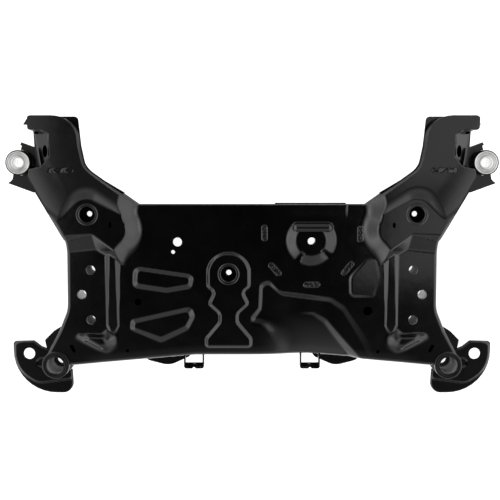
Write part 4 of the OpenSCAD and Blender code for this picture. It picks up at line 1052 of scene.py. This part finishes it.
# colour sockets of a mix node
MIX_A, MIX_B, MIX_RESULT = 6, 7, 2
scene = bpy.context.scene
scene.view_settings.view_transform = "Standard"
world = bpy.data.worlds.new("studio_tent")
scene.world = world
world.use_nodes = True
tent = world.node_tree
tent.nodes.clear()
direction = add_node(tent, "ShaderNodeSeparateXYZ")
tent.links.new(add_node(tent, "ShaderNodeTexCoord").outputs["Generated"], direction.inputs["Vector"])


def lighter(a, b):
    """The lighter of two colours."""
    mix = add_node(tent, "ShaderNodeMix", data_type="RGBA", blend_type="LIGHTEN", Factor=1.0)
    tent.links.new(a, mix.inputs[MIX_A])
    tent.links.new(b, mix.inputs[MIX_B])
    return mix.outputs[MIX_RESULT]


# glow by how far a direction leans to a side or an end
low_glow = [(0.0, 0.0), (0.16, 0.012), (0.24, 0.10), (0.36, 0.22), (0.5, 0.60)]
right_glow = low_glow + [(0.64, 0.86), (0.8, 0.80), (1.0, 0.95)]
left_glow = low_glow + [(0.64, 0.95), (0.78, 1.15), (1.0, 0.5)]
end_glow = [(0.0, 0.003), (0.14, 0.007), (0.24, 0.07), (0.45, 0.17), (0.72, 0.40), (0.86, 0.36), (1.0, 0.17)]
right_side = ramp(tent, calc(tent, "MULTIPLY", direction.outputs["X"], 1.0), right_glow)
left_side = ramp(tent, calc(tent, "MULTIPLY", direction.outputs["X"], -1.0), left_glow)
ends = ramp(tent, calc(tent, "ABSOLUTE", direction.outputs["Y"]), end_glow)
back = add_node(tent, "ShaderNodeBackground", Strength=TENT_STRENGTH)
tent.links.new(lighter(lighter(right_side, left_side), ends), back.inputs["Color"])
sky = add_node(tent, "ShaderNodeOutputWorld")
tent.links.new(back.outputs["Background"], sky.inputs["Surface"])


def softbox(name, at, size, radiance):
    """Flat lamp that faces straight down."""
    lamp = bpy.data.lights.new(name, "AREA")
    lamp.shape = "RECTANGLE"
    lamp.size, lamp.size_y = size
    lamp.energy = radiance * math.pi * size[0] * size[1]
    obj = bpy.data.objects.new(name, lamp)
    obj.location = at
    obj.visible_camera = False
    scene.collection.objects.link(obj)


softbox("softbox_right", at=(0.96, 0.32, 1.40), size=(1.04, 0.60), radiance=0.85)
softbox("softbox_left", at=(-1.09, 0.33, 1.38), size=(0.88, 0.62), radiance=0.65)


def paper(name):
    """Grey to the light that falls on the part, white wherever the eye, a mirror or glass looks at it."""
    mat, tree, bsdf = material(name)
    bsdf.inputs["Base Color"].default_value = (FLOOR_TONE, FLOOR_TONE, FLOOR_TONE, 1)
    bsdf.inputs["Roughness"].default_value = 0.9
    path = add_node(tree, "ShaderNodeLightPath").outputs
    seen = calc(tree, "MAXIMUM", path["Is Camera Ray"], path["Is Transmission Ray"])
    seen = calc(tree, "MAXIMUM", seen, path["Is Glossy Ray"])
    glow = add_node(tree, "ShaderNodeEmission", Color=(1, 1, 1, 1), Strength=FLOOR_GLOW)
    both = add_node(tree, "ShaderNodeAddShader")
    tree.links.new(bsdf.outputs["BSDF"], both.inputs[0])
    tree.links.new(glow.outputs["Emission"], both.inputs[1])
    pick = add_node(tree, "ShaderNodeMixShader")
    tree.links.new(seen, pick.inputs["Fac"])
    tree.links.new(bsdf.outputs["BSDF"], pick.inputs[1])
    tree.links.new(both.outputs["Shader"], pick.inputs[2])
    tree.links.new(pick.outputs["Shader"], tree.nodes["Material Output"].inputs["Surface"])
    return mat


bpy.ops.mesh.primitive_plane_add(size=FLOOR_SIZE, location=FLOOR_AT)
floor = bpy.context.object
floor.name = "floor"
floor.data.materials.append(paper("paper_floor"))

# Camera, in metres, almost straight above the part
CAMERA_AT, LOOK_AT = (-0.004, 0.393, 2.080), (-0.004, 0.233, 0.080)
LENS, SENSOR, CLIP_END = 72.2, 36.0, 60
cam = bpy.data.objects.new("camera", bpy.data.cameras.new("camera"))
scene.collection.objects.link(cam)
cam.location = CAMERA_AT
back_axis = (cam.location - Vector(LOOK_AT)).normalized()
right_axis = Vector((0, 1, 0)).cross(back_axis).normalized()
cam.rotation_euler = Matrix((right_axis, back_axis.cross(right_axis), back_axis)).transposed().to_euler()
cam.data.lens = LENS
cam.data.sensor_width = SENSOR
cam.data.clip_end = CLIP_END
scene.camera = cam
